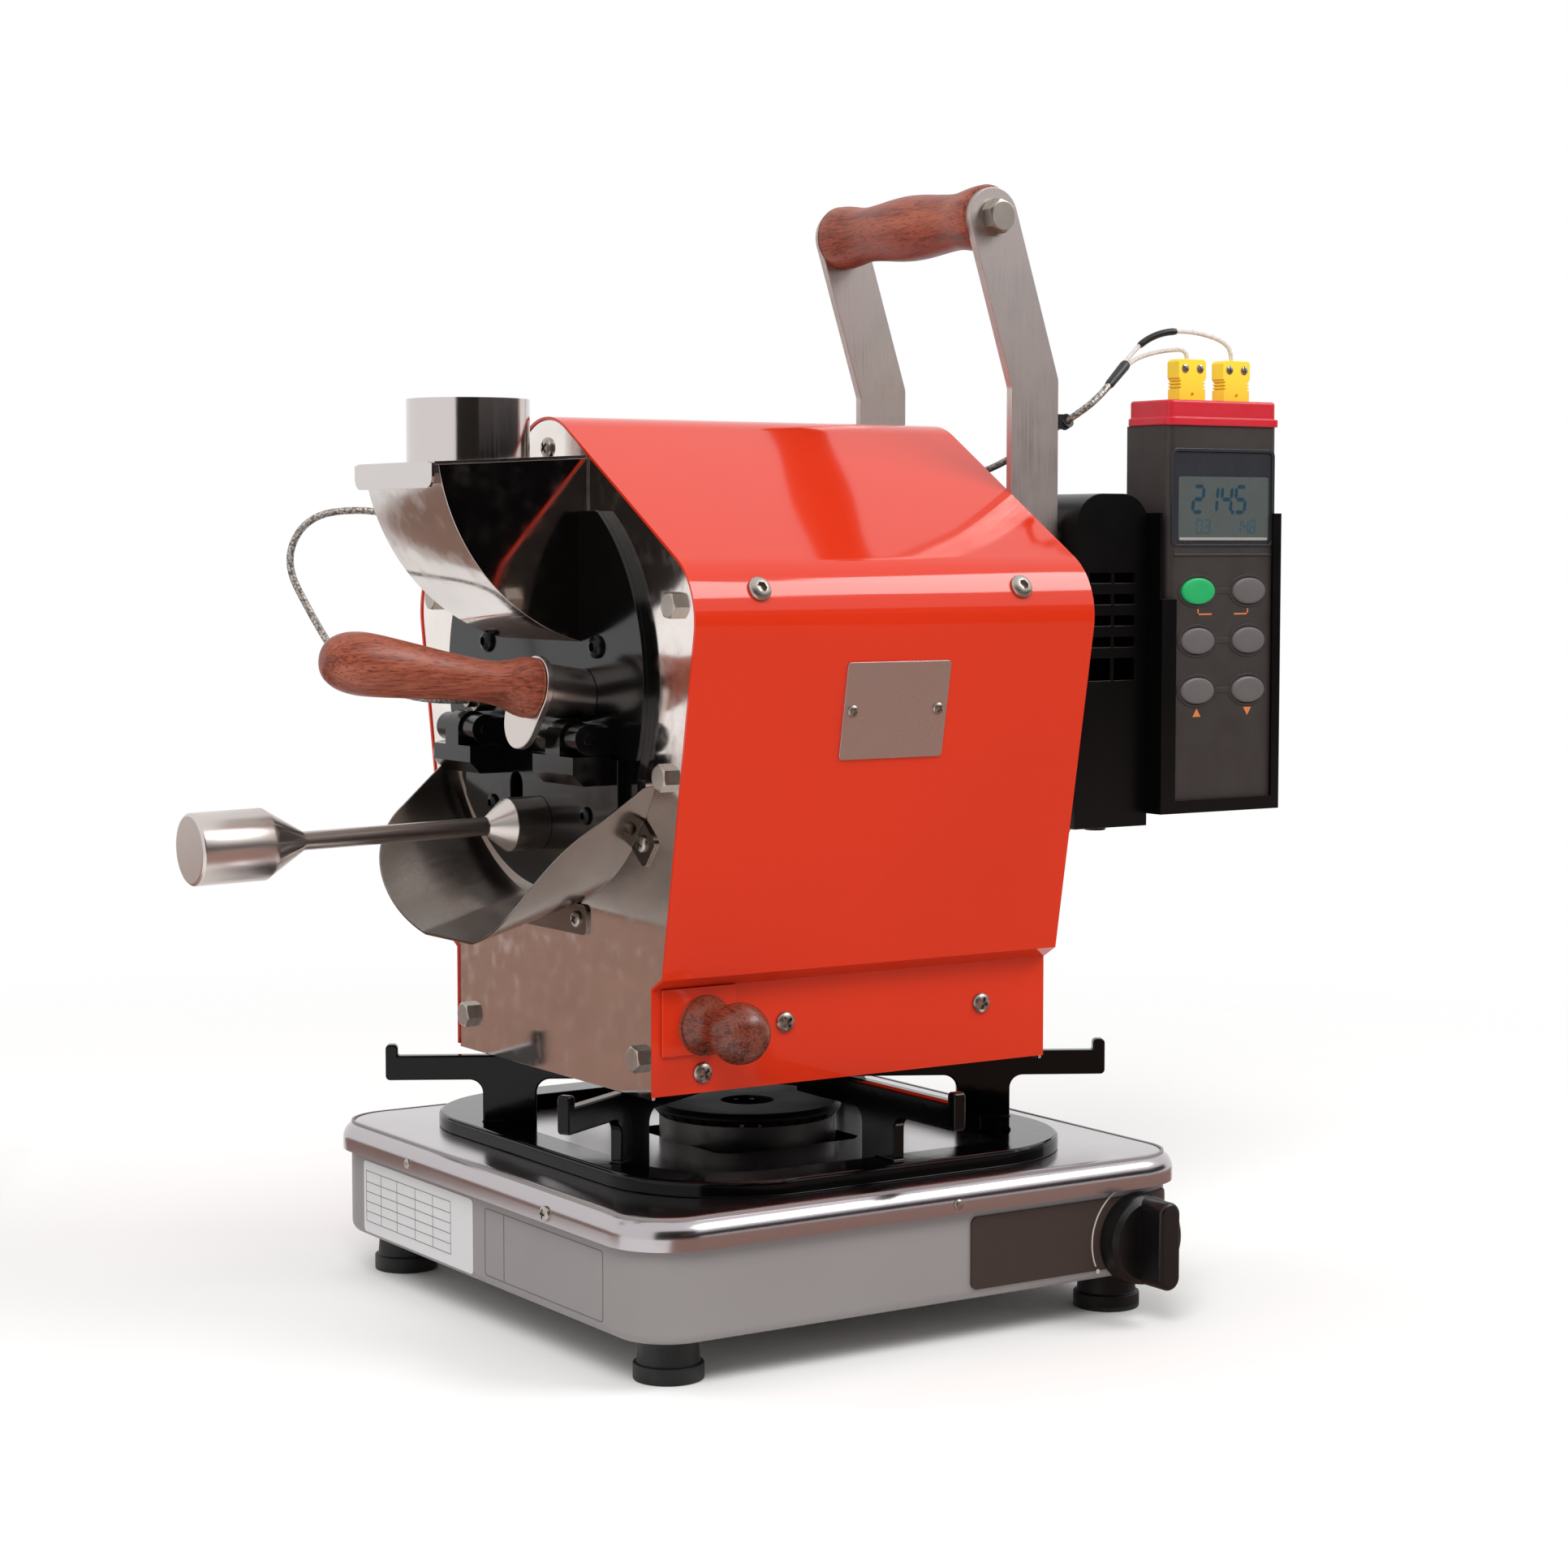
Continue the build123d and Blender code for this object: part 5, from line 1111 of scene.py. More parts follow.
# ------------------------------------------------------------------ stove
@dataclass(frozen=True)
class Stove:
    """The one-burner stove with its trivet."""

    body: str = "stove"
    middle_y: float = 100.0
    hob_half: Point = (145.0, 140.5)
    hob_corner: float = 28.0
    hob_edge: float = 8.0
    hob_sheet: float = 1.1
    hob_foot: float = 56.9
    hob_top: float = 69.5
    hob_hole: float = 50.0
    hob_steps: int = 16
    trivet_y: float = 97.5
    ring_thick: float = 3.5
    ring_more: float = 3.2
    ring_corners: tuple[tuple[float, float, float, float], ...] = (
        (126.0, 110.0, 46.0, 58.0), (105.0, 92.0, 32.0, 44.0))
    panel_outline: tuple[float, float, float, float] = (120.0, 228.8, 23.2, 53.8)
    panel_reach: Point = (120.0, 160.0)
    fixing_x: Point = (67.6, -57.7)
    fixing_y: Point = (-40.5, 240.5)
    fixing_z: float = 61.0
    side_rivet_y: float = 111.0
    knob_axis: Point = (208.0, 35.0)
    dial_x: Point = (142.15, 142.35)
    dial_sweep: Point = (112.0, 92.0)
    dial_radii: Point = (24.6, 24.0)
    dial_dots: Point = (106.0, 210.0)
    dot_circle: float = 24.3
    label_y: Point = (-36.8, -36.5)
    label_line: float = 0.15
    label_rows: tuple[float, ...] = (26.5, 31.0, 35.5, 40.0, 44.5, 49.5)
    label_columns: tuple[float, ...] = (-107.0, -92.0, -76.0, -58.0, -41.0, -24.0)
    skirt: Fastener = Fastener("skirt_screw", 3.4, 1.9, Recess.CROSS)
    rivet: Fastener = Fastener("skirt_rivet", 2.2, 1.2)

    def build(self) -> None:
        """Build and dress the stove's pieces."""
        self.hob()
        fine("stove_body", GREY_BODY, 0.3)
        fine("stove_feet", RUBBER, 0.7)
        self.panel()
        fine("burner_base", CAST_METAL, 0.5)
        fine("burner_cap", CAP_ENAMEL, 0.5)
        self.trivet()
        fine("gas_valve", BRASS, 0.4)
        fine("gas_knob", KNOB_PLASTIC, 0.8, 3)
        self.screws()
        self.dial()
        self.labels()

    def hob_profile(self, depth: float) -> list[Point]:
        """Draw one face of the hob's sheet, up its skirt and round its soft edge.

        Args:
            depth: How deep under the outer face it lies.

        Returns:
            Points as (distance in from the outer face, height).
        """
        radius = self.hob_edge - depth
        turns = [math.radians(90 * i / 12) for i in range(13)]
        return [(depth, self.hob_foot)] + [
            (depth + radius * (1 - math.cos(t)), self.hob_top - self.hob_edge + radius * math.sin(t))
            for t in turns]

    def hob(self) -> None:
        """Draw the hob from one sheet: a skirt, a soft edge and a flat field with the burner's hole."""
        half_x, half_y = self.hob_half
        outer, inner = self.hob_profile(0.0), self.hob_profile(self.hob_sheet)
        points: list[Place] = []
        for inset, z in outer + inner[::-1]:
            ring = rectangle(inset - half_x, half_x - inset, self.middle_y - half_y + inset,
                             self.middle_y + half_y - inset, self.hob_corner - inset, self.hob_steps)
            points += [(x, y, z) for x, y in ring]
        rows = len(outer)
        count = len(points) // (2 * rows)
        for row, z in ((rows - 1, self.hob_top), (rows, self.hob_top - self.hob_sheet)):
            for x, y, _ in points[row * count:(row + 1) * count]:
                turn = math.atan2(y - self.middle_y, x)
                points.append((self.hob_hole * math.cos(turn),
                               self.middle_y + self.hob_hole * math.sin(turn), z))
        order = [*range(rows), 2 * rows, 2 * rows + 1, *range(rows, 2 * rows), 0]
        plate = sharpened(piece_of("hob_plate", points, bands(order, count)), HOB_TURN)
        settled(plate, STOVE_SHEET, self.body, "stainless", "stove_top")

    def panel(self) -> None:
        """Round the corners of the panel, which follows the body round its corner."""
        keep = prism("keep", rectangle(*self.panel_outline, 3.0), *self.panel_reach, Along.X)
        piece = cut_by(refined("control_panel"), keep, "INTERSECT")
        settled(bevelled(piece, 0.15), BROWN_PANEL, self.body, "brown_panel", "control_panel")

    def trivet(self) -> None:
        """Thicken the cast ring and round its corners; the arms stay as they are."""
        piece = bevelled(refined("trivet"), 1.3, 3)
        for vertex in piece.data.vertices:
            x, y, z = vertex.co / MM
            if not self.hob_top - 0.1 < z < self.hob_top + self.ring_thick + 0.1:
                continue
            for half_x, half_y, old, new in self.ring_corners:
                away = Vector((abs(x) - half_x + old, abs(y - self.trivet_y) - half_y + old))
                if min(away) > -0.01 and old - 1.5 < away.length < old + 0.2:
                    middle = Vector((half_x - new, half_y - new))
                    spot = middle + away.normalized() * (away.length + new - old)
                    x = math.copysign(spot.x, x)
                    y = self.trivet_y + math.copysign(spot.y, y - self.trivet_y)
                    break
            if z > self.hob_top + 1:
                z += self.ring_more
            vertex.co = Vector((x, y, z)) * MM
        settled(piece, ENAMEL, "stand", "enamel", "trivet")

    def screws(self) -> None:
        """Set the skirt's screws and rivets."""
        (front, rear), z = self.fixing_y, self.fixing_z
        screw_seats, rivet_seats = (
            [((x, front, z), (0.0, -1.0, 0.0)), ((x, rear, z), (0.0, 1.0, 0.0))] for x in self.fixing_x)
        rivet_seats += [((side * self.hob_half[0], self.side_rivet_y, z), (side, 0.0, 0.0))
                        for side in (1.0, -1.0)]
        screws = self.skirt.on("skirt_screws", screw_seats, SCREW_STEEL)
        rivets = self.rivet.on("skirt_rivets", rivet_seats, SCREW_STEEL)
        fixings = sharpened(joined("skirt_fixings", screws, rivets))
        settled(fixings, SCREW_STEEL, self.body, "steel", "stove_screws")

    def round_knob(self, radius: float, degrees: float) -> Point:
        """Find a point of the panel on a circle round the knob.

        Args:
            radius: Radius of the circle.
            degrees: Its turn from +Y towards +Z.

        Returns:
            Its Y and Z.
        """
        angle = math.radians(degrees)
        return (self.knob_axis[0] + radius * math.cos(angle), self.knob_axis[1] + radius * math.sin(angle))

    def dial(self) -> None:
        """Print the knob's sweep on the panel: an arc with a dot at each end."""
        start, sweep = self.dial_sweep
        turns = [start + sweep * i / 32 for i in range(33)]
        outer, inner = ([self.round_knob(radius, turn) for turn in turns] for radius in self.dial_radii)
        arc = prism("arc", outer + inner[::-1], *self.dial_x, Along.X)
        spots = [oval(self.round_knob(self.dot_circle, turn), 1.0, 1.0, 20) for turn in self.dial_dots]
        dots = [prism("dot", spot, *self.dial_x, Along.X) for spot in spots]
        settled(sharpened(joined("dial_sweep", arc, *dots)), MARK_WHITE, self.body, "brown_panel")

    def labels(self) -> None:
        """Lay two bare labels on the front: a white one ruled like a table and a thin grey frame."""
        y0, y1 = self.label_y
        white = prism("label_sheet", rectangle(-109.5, -3.5, 21.5, 54.0, 2.0), y0, y1, Along.Y)
        settled(sharpened(white), LABEL_FILM, self.body, "grey_paint")
        half, rows, columns = self.label_line, self.label_rows, self.label_columns
        rules = [rectangle(columns[0], columns[-1], z - half, z + half) for z in rows]
        rules += [rectangle(x - half, x + half, rows[0], rows[-1]) for x in columns]
        lines = [prism("rule", rule, y0 - 0.06, y0 + 0.05, Along.Y) for rule in rules]
        settled(sharpened(joined("label_rules", *lines)), LABEL_INK, self.body, "grey_paint")
        outer, inner = rectangle(7.2, 107.6, 23.4, 52.6, 2.0), rectangle(7.7, 107.1, 23.9, 52.1, 1.6)
        rim = hoop("rim", outer, inner, y0 + 0.1, y1, Along.Y)
        bar = prism("bar", rectangle(24.0, 24.5, 23.9, 52.1), y0 + 0.1, y1, Along.Y)
        settled(sharpened(joined("label_frame", rim, bar)), LABEL_INK, self.body, "grey_paint")


# ------------------------------------------------------------------ housing
@dataclass(frozen=True)
class Housing:
    """The red cover over its two end plates, with the bolts, screws and name plate on it."""

    body: str = "roaster"
    rear_y: float = 200.3
    bolt_places: tuple[Point, ...] = ((104.0, 308.5), (96.5, 239.0), (75.0, 122.0))
    arm_bolt_x: float = 45.0
    arm_bolt_z: Point = (263.0, 285.0)
    arm_thick: float = 4.0
    cover_screw: Point = (117.37, 314.81)
    cover_screw_y: Point = (31.1, 162.6)
    cover_facing: Point = (0.9044, 0.4266)
    side_x: float = 86.1
    side_places: tuple[Point, ...] = ((63.8, 133.5), (165.7, 133.5), (23.1, 115.7))
    hopper_screw: Place = (0.0, 0.0, 373.6)
    plate_middle: Place = (113.965, 100.0, 264.5)
    plate_thick: float = 0.8
    plate_screw_off: float = 21.5
    plate_facing: Place = (0.98417, 0.0, -0.17721)
    chute_y: float = -1.2
    chute_tabs: tuple[Point, ...] = ((-79.66, 211.19), (79.66, 211.19), (-25.0, 175.0), (25.0, 175.0))
    hexagon: Fastener = Fastener("hexagon_bolt", 5.0, 4.0, flats=True)
    button: Fastener = Fastener("button_screw", 5.2, 2.9, Recess.HEX_SOCKET)
    pan: Fastener = Fastener("pan_screw", 4.4, 2.4, Recess.CROSS)
    small: Fastener = Fastener("small_screw", 2.6, 1.4, Recess.CROSS)
    tab: Fastener = Fastener("tab_screw", 3.6, 2.0, Recess.CROSS)

    def build(self) -> None:
        """Build and dress the housing's pieces."""
        fine("side_cover", RED_COAT, 0.35)
        fine("front_plate", PLATE_SHEET, 0.25)
        fine("rear_plate", PLATE_SHEET, 0.25)
        fine("name_plate", LABEL_SHEET, 0.15)
        fine("side_rails", DULL_STEEL, 0.3)
        fine("rear_bearing", SCREW_STEEL, 0.3)
        kept("heat_plate", DULL_STEEL)
        kept("tie_rods", TURNED_BAR)
        kept("drum", DULL_STEEL)
        self.bolts()
        self.screws()

    def bolts(self) -> None:
        """Set the hexagon bolts of both plates and of the handle's feet."""
        front, rear = (0.0, -1.0, 0.0), (0.0, 1.0, 0.0)
        seats: list[Seat] = []
        for x, z in self.bolt_places:
            for side in (-1, 1):
                seats += [((side * x, 0.0, z), front), ((side * x, self.rear_y, z), rear)]
        for side in (-1, 1):
            seats += [((side * self.arm_bolt_x, self.rear_y + self.arm_thick, z), rear)
                      for z in self.arm_bolt_z]
        bolts = self.hexagon.on("plate_hexagons", seats, SCREW_STEEL)
        settled(bolts, SCREW_STEEL, self.body, "steel", "plate_bolts")

    def screws(self) -> None:
        """Set the cover's, the name plate's and the chute's screws."""
        cover: list[Seat] = []
        sides: list[Seat] = []
        ahead = (0.0, -1.0, 0.0)
        screw_x, screw_z = self.cover_screw
        for side in (-1, 1):
            looks = (side * self.cover_facing[0], 0.0, self.cover_facing[1])
            cover += [((side * screw_x, y, screw_z), looks) for y in self.cover_screw_y]
            sides += [((side * self.side_x, y, z), (float(side), 0.0, 0.0)) for y, z in self.side_places]
        sides.append((self.hopper_screw, ahead))
        x, y, z = self.plate_middle
        look_x, _, look_z = self.plate_facing
        plate = [((x + self.plate_thick * look_x, y + off, z + self.plate_thick * look_z), self.plate_facing)
                 for off in (-self.plate_screw_off, self.plate_screw_off)]
        tabs = [((x, self.chute_y, z), ahead) for x, z in self.chute_tabs]
        heads = [self.button.on("cover_buttons", cover, SCREW_STEEL),
                 self.pan.on("side_pans", sides, SCREW_STEEL),
                 self.small.on("plate_smalls", plate, SCREW_STEEL),
                 self.tab.on("chute_pans", tabs, SCREW_STEEL)]
        screws = sharpened(joined("housing_screws", *heads))
        settled(screws, SCREW_STEEL, self.body, "steel", "cover_screws")


# ------------------------------------------------------------------ front disc, door, trier
@dataclass(frozen=True)
class RoastingFront:
    """The black disc with the weighted drop door, the trier and the bean probe."""

    body: str = "roaster"
    disc_screws: Place = (48.0, -4.0, 290.5)
    door_screws: Place = (41.0, -5.5, 220.0)
    trier_seat: Place = (37.0, -25.758, 273.252)
    trier_way: Place = (0.0, -0.98902, 0.14781)
    black: Fastener = Fastener("black_button", 4.9, 3.0, Recess.HEX_SOCKET)
    low: Fastener = Fastener("black_small", 3.9, 2.2, Recess.HEX_SOCKET)
    grip: tuple[Point, ...] = (
        (0, 3.0), (11.4, 3.0), (12.4, 4.0), (12.6, 6.0), (12.0, 9.5), (10.4, 14.5), (9.2, 20.0), (8.8, 27.0),
        (9.2, 36.0), (10.2, 48.0), (11.5, 62.0), (12.6, 75.0), (12.7, 83.0), (11.4, 90.0), (8.4, 95.2),
        (4.4, 97.6), (0, 98.0))

    def build(self) -> None:
        """Build and dress the front's pieces."""
        for node, width in (("door_frame", 0.4), ("front_disc", 0.4), ("hinge_fixed", 0.4),
                            ("hinge_moving", 0.5), ("door_plate", 0.5)):
            fine(node, ANODISED, width)
        fine("trier_bush", TURNED_BAR, 0.4)
        fine("trier_spoon", TURNED_BAR, 0.4, 3)
        fine("probe_fitting", SCREW_STEEL, 0.3)
        fine("lever", TURNED_BAR, 0.35)
        self.screws()
        handle = lathe("trier_grip", smooth_line(self.grip, 5), self.trier_seat, self.trier_way)
        settled(sharpened(handle, SOFT_TURN), TRIER_WOOD, "trier", "wood", "trier_handle")

    def screws(self) -> None:
        """Set the disc's and the door's black screws, a pair on each."""
        for head, name, (x, y, z), body, node in (
                (self.black, "disc_buttons", self.disc_screws, self.body, "disc_screws"),
                (self.low, "door_buttons", self.door_screws, "door", "door_screws")):
            seats = [((side * x, y, z), (0.0, -1.0, 0.0)) for side in (-1, 1)]
            settled(head.on(name, seats, BLACK_SCREW), BLACK_SCREW, body, "black_anodised", node)


# ------------------------------------------------------------------ hopper, chute and chaff drawer
@dataclass(frozen=True)
class BeanPath:
    """The sheet pieces that the beans run over, and the chaff drawer."""

    knob_seat: Place = (87.6, 23.8, 135.5)
    knob: tuple[Point, ...] = (
        (0, 0), (11.6, 0), (12.2, 0.8), (12.1, 2.6), (10.4, 5.2), (8.4, 8.0), (7.5, 11.0), (7.7, 14.0),
        (9.2, 17.2), (11.2, 20.4), (12.5, 24.0), (12.6, 27.6), (11.3, 32.2), (8.4, 36.0), (4.6, 38.1),
        (0, 38.6))

    def build(self) -> None:
        """Build and dress the pieces."""
        fine("hopper", MIRROR_SHEET, 0.3)
        fine("hopper_lid", TUBE_SHEET, 0.3)
        fine("chute", CHUTE_SHEET, 0.25)
        fine("drawer_tray", RED_COAT, 0.3)
        kept("drawer_guide", DULL_STEEL)
        knob = lathe("drawer_pull_knob", smooth_line(self.knob, 5), self.knob_seat, (1, 0, 0))
        settled(sharpened(knob, SOFT_TURN), KNOB_WOOD, "drawer", "dark_wood", "drawer_knob")


# ------------------------------------------------------------------ carry handle
@dataclass(frozen=True)
class CarryHandle:
    """Two steel arms and the turned grip between them."""

    body: str = "roaster"
    seat: Place = (-57.0, 190.0, 476.0)
    bolt_x: float = 62.6
    washered: Fastener = Fastener("grip_bolt", 6.5, 5.5, flats=True, collar=8.0)
    grip: tuple[Point, ...] = (
        (0, 0), (13.2, 0), (14.3, 1.2), (14.4, 5.0), (13.7, 11.0), (12.7, 18.0), (12.5, 25.0), (13.2, 35.0),
        (14.3, 47.0), (14.7, 57.0), (14.3, 67.0), (13.2, 79.0), (12.5, 89.0), (12.7, 96.0), (13.7, 103.0),
        (14.4, 109.0), (14.3, 112.8), (13.2, 114.0), (0, 114.0))

    def build(self) -> None:
        """Build and dress the handle."""
        fine("handle_arms", ARM_STRIP, 0.5, 3)
        grip = lathe("carry_grip", smooth_line(self.grip, 4), self.seat, (1, 0, 0))
        settled(sharpened(grip, SOFT_TURN), GRIP_WOOD, self.body, "wood", "handle_grip")
        _, y, z = self.seat
        seats = [((side * self.bolt_x, y, z), (float(side), 0.0, 0.0)) for side in (-1, 1)]
        bolts = self.washered.on("grip_bolts", seats, SCREW_STEEL)
        settled(bolts, SCREW_STEEL, self.body, "steel", "handle_bolts")


# ------------------------------------------------------------------ motor box
@dataclass(frozen=True)
class MotorBox:
    """The vented black box behind the housing, with its gear motor and the logger's pocket."""

    pocket_top: float = 339.0
    pocket_more: float = 8.0

    def build(self) -> None:
        """Build and dress the box, and raise the walls of the pocket."""
        fine("motor_box", BLACK_SHEET, 0.4)
        fine("box_floor", BLACK_SHEET, 0.3)
        fine("gear_motor", CAST_METAL, 0.5)
        holder = bevelled(refined("logger_holder"), 0.4)
        for vertex in holder.data.vertices:
            if vertex.co.z > (self.pocket_top - 1) * MM:
                vertex.co.z += self.pocket_more * MM
        settled(holder, BLACK_SHEET, "roaster", "black_sheet", "logger_holder")


# ------------------------------------------------------------------ temperature logger
@dataclass(frozen=True)
class Logger:
    """The hand-held logger in its holder: case, cap, display, keys and generic marks.

    Its pieces lie on the case's face at face_x, and their depths are measured from it.
    """

    body: str = "roaster"
    face_x: float = 80.0
    pane: tuple[float, float, float, float] = (278.2, 336.0, 333.2, 374.5)
    screen: tuple[float, float, float, float] = (280.8, 334.4, 334.6, 363.4)
    sill_highlight: tuple[float, float, float, float] = (281.3, 333.9, 334.6, 335.9)
    ridge: tuple[float, float, float, float] = (278.0, 336.5, 327.4, 328.6)
    rim: tuple[float, float, float, float] = (276.4, 337.8, 331.6, 376.2)
    rim_inside: tuple[float, float, float, float] = (278.0, 336.2, 333.0, 374.7)
    ink_depth: Point = (-0.2, -0.14)
    columns: Point = (292.2, 322.6)
    rows: tuple[float, float, float] = (311.5, 288.8, 266.1)
    key_rings: tuple[Place, ...] = (
        (9.75, 6.0, -2.6), (9.75, 6.0, 0.7), (9.45, 5.7, 1.1), (8.6, 4.95, 1.3), (5.5, 3.0, 1.4))
    key_rim: tuple[Point, Point] = ((11.9, 7.6), (10.05, 6.3))
    bracket_z: Point = (300.6, 303.4)
    bracket_wide: float = 8.5
    bracket_thick: float = 0.7
    arrow_z: Point = (254.2, 258.0)
    arrow_half: float = 2.4
    plug_y: Point = (297.4, 323.9)
    plug_x: Point = (60.8, 69.1)
    plug_z: float = 398.0
    plug_half: float = 8.1
    plug_ribs: int = 3
    plug_screw_z: float = 412.7
    plug_screw_off: float = 4.4
    plug_head: Fastener = Fastener("plug_screw", 2.0, 0.7, Recess.SLOT)

    def build(self) -> None:
        """Build and dress the logger."""
        fine("logger_case", CASE_PLASTIC, 0.5, 3)
        fine("logger_cap", CAP_PLASTIC, 0.5, 3)
        self.plugs()
        self.window()
        self.digits()
        self.keys()
        self.marks()
        self.plug_screws()

    def laid(self, name: str, outline: Sequence[Point], low: float, high: float) -> Piece:
        """Raise an outline on the case's face.

        Args:
            name: The piece's name.
            outline: Points as (Y, Z).
            low: Where it starts, from the face.
            high: Where it ends, from the face.

        Returns:
            The closed piece.
        """
        return prism(name, outline, self.face_x + low, self.face_x + high, Along.X)

    def window(self) -> None:
        """Build the dark window, its raised rim and ridge, the screen's glass, and a painted highlight on
        the sill.
        """
        pane = self.laid("pane", rectangle(*self.pane, 1.8), -0.8, -0.3)
        settled(bevelled(pane, 0.1), BEZEL_PLASTIC, self.body, "screen", "logger_display")
        glass = self.laid("screen_glass", rectangle(*self.screen, 1.0), -0.3, -0.2)
        settled(bevelled(glass, 0.04), SCREEN_GLASS, self.body, "screen")
        # Painted highlight: a flat pale strip stands for the light on the window's bevelled lower edge.
        sill_highlight = self.laid("window_sill", rectangle(*self.sill_highlight, 0.5), -0.25, -0.1)
        settled(sharpened(sill_highlight), SILL_HIGHLIGHT, self.body, "screen")
        ridge = self.laid("window_ridge", rectangle(*self.ridge, 0.5), -0.3, 0.5)
        settled(bevelled(ridge, 0.35), CASE_PLASTIC, self.body, "charcoal_plastic")
        rim = hoop("window_rim", rectangle(*self.rim, 3.2), rectangle(*self.rim_inside, 1.9),
                   self.face_x - 0.4, self.face_x + 0.45, Along.X)
        settled(bevelled(rim, 0.25), BEZEL_PLASTIC, self.body, "charcoal_plastic")

    def digits(self) -> None:
        """Set the reading in seven-segment numbers: one large line and two small ones."""
        large = self.number("214.5", (289.0, 347.4), (5.7, 11.6), 1.75, 2.7)
        small = self.number("0.3", (291.2, 338.0), (3.2, 5.8), 0.8, 1.4)
        small += self.number("14.8", (314.6, 338.0), (3.0, 5.8), 0.8, 1.3)
        settled(sharpened(joined("large_digits", *large)), DIGIT_INK, self.body, "screen")
        settled(sharpened(joined("small_digits", *small)), FAINT_INK, self.body, "screen")

    def number(self, text: str, foot: Point, size: Point, bar: float, gap: float) -> list[Piece]:
        """Build a number of seven-segment figures.

        Args:
            text: Figures and points.
            foot: Left end of the first figure's foot.
            size: Width and height of a figure.
            bar: Thickness of a segment.
            gap: Space between figures.

        Returns:
            The segments.
        """
        lit = {"0": "abcdef", "1": "bc", "2": "abged", "3": "abgcd", "4": "fgbc", "5": "afgcd",
               "8": "abcdefg"}
        (y, z), (wide, tall) = foot, size
        half, lean, thin = tall / 2, 0.09, bar / 2
        spots = {"a": (0, tall, wide, tall), "b": (wide, tall, wide, half), "c": (wide, half, wide, 0),
                 "d": (0, 0, wide, 0), "e": (0, half, 0, 0), "f": (0, tall, 0, half),
                 "g": (0, half, wide, half)}
        bars: list[Piece] = []
        for figure in text:
            if figure == ".":
                dot = y - gap / 2 - thin
                bars.append(self.laid("dot", rectangle(dot, dot + bar, z - thin, z + thin), *self.ink_depth))
                continue
            for key in lit[figure]:
                start, end = Vector(spots[key][:2]), Vector(spots[key][2:])
                way = (end - start).normalized()
                side, tip, inset = Vector((-way.y, way.x)) * thin, way * thin, way * bar * 0.2
                start, end = start + inset, end - inset
                shape = [start, start + tip + side, end - tip + side, end, end - tip - side,
                         start + tip - side]
                flat = [(y + p.x + p.y * lean, z + p.y) for p in shape]
                bars.append(self.laid("segment", flat, *self.ink_depth))
            y += wide + gap
        return bars

    def keys(self) -> None:
        """Replace the six keys by domed ones and lay a shallow rim round each."""
        rims = []
        near, far = self.columns
        link_in, link_half = 11.2, 1.3
        for row, z in enumerate(self.rows):
            for column, y in enumerate(self.columns):
                index = 2 * row + column + 1
                finish, slot = (GREEN_KEY, "green_rubber") if index == 1 else (GREY_KEY, "grey_rubber")
                key = self.key(f"key_{index}_cap", y, z)
                settled(key, finish, f"key_{index}", slot, f"logger_button_{index}")
                outer, inner = (oval((y, z), *halves) for halves in self.key_rim)
                rims.append(hoop("rim", outer, inner, self.face_x - 0.2, self.face_x + 0.3, Along.X))
            link = rectangle(near + link_in, far - link_in, z - link_half, z + link_half)
            rims.append(self.laid("link", link, -0.2, 0.25))
        settled(bevelled(joined("key_rims", *rims), 0.2), CASE_PLASTIC, self.body, "charcoal_plastic")

    def key(self, name: str, y: float, z: float) -> Piece:
        """Build one oval key with a domed face.

        Args:
            name: The key's name.
            y: Its middle along the face.
            z: Its height.

        Returns:
            The closed key.
        """
        points: list[Place] = []
        for half_u, half_v, height in self.key_rings:
            points += Along.X.raised(oval((y, z), half_u, half_v), self.face_x + height)
        rows = len(self.key_rings)
        return sharpened(piece_of(name, points, capped(rows, len(points) // rows)), SOFT_TURN)

    def marks(self) -> None:
        """Print a linking bracket below the first keys and two triangles below the last ones."""
        near, far = self.columns
        (low, high), (foot, tip) = self.bracket_z, self.arrow_z
        wide, thick, half = self.bracket_wide, self.bracket_thick, self.arrow_half
        outlines = [rectangle(near, near + thick, low, high), rectangle(far - thick, far, low, high),
                    rectangle(near, near + wide, low, low + thick),
                    rectangle(far - wide, far, low, low + thick),
                    [(near - half, foot), (near + half, foot), (near, tip)],
                    [(far - half, tip), (far, foot), (far + half, tip)]]
        marks = [self.laid("mark", outline, -0.05, 0.08) for outline in outlines]
        settled(sharpened(joined("key_marks", *marks)), ORANGE_INK, self.body, "charcoal_plastic")

    def plug_outline(self, middle: float) -> list[Point]:
        """Outline a plug, with the grip ribs at its waist.

        Args:
            middle: Its middle along Y.

        Returns:
            Points as (Y, Z), up its right side and down its left.
        """
        half, waist = self.plug_half, 5.6
        right = [(half - 1.0, 0.0), (half - 0.4, 0.6), (half - 0.4, waist)]
        for rib in range(self.plug_ribs):
            foot = waist + 1.5 * rib
            right += [(half - 1.5, foot), (half - 1.5, foot + 0.6), (half - 0.6, foot + 0.6),
                      (half - 0.6, foot + 1.5)]
        right += [(half, 10.4), (half, 17.8), (half - 1.2, 19.0)]
        return ([(middle + u, self.plug_z + v) for u, v in right]
                + [(middle - u, self.plug_z + v) for u, v in reversed(right)])

    def plugs(self) -> None:
        """Build the two plugs, each with a vent hole below its ribs."""
        face = self.plug_x[1]
        plugs = []
        for middle in self.plug_y:
            vent = prism("vent", oval((middle, self.plug_z + 2.9), 0.8, 0.8, 20), face - 1.5, face + 1,
                         Along.X)
            plugs.append(cut_by(prism("plug", self.plug_outline(middle), *self.plug_x, Along.X), vent))
        pair = bevelled(joined("yellow_plugs", *plugs), 0.25)
        settled(pair, PLUG_PLASTIC, self.body, "yellow_plastic", "lead_plugs")

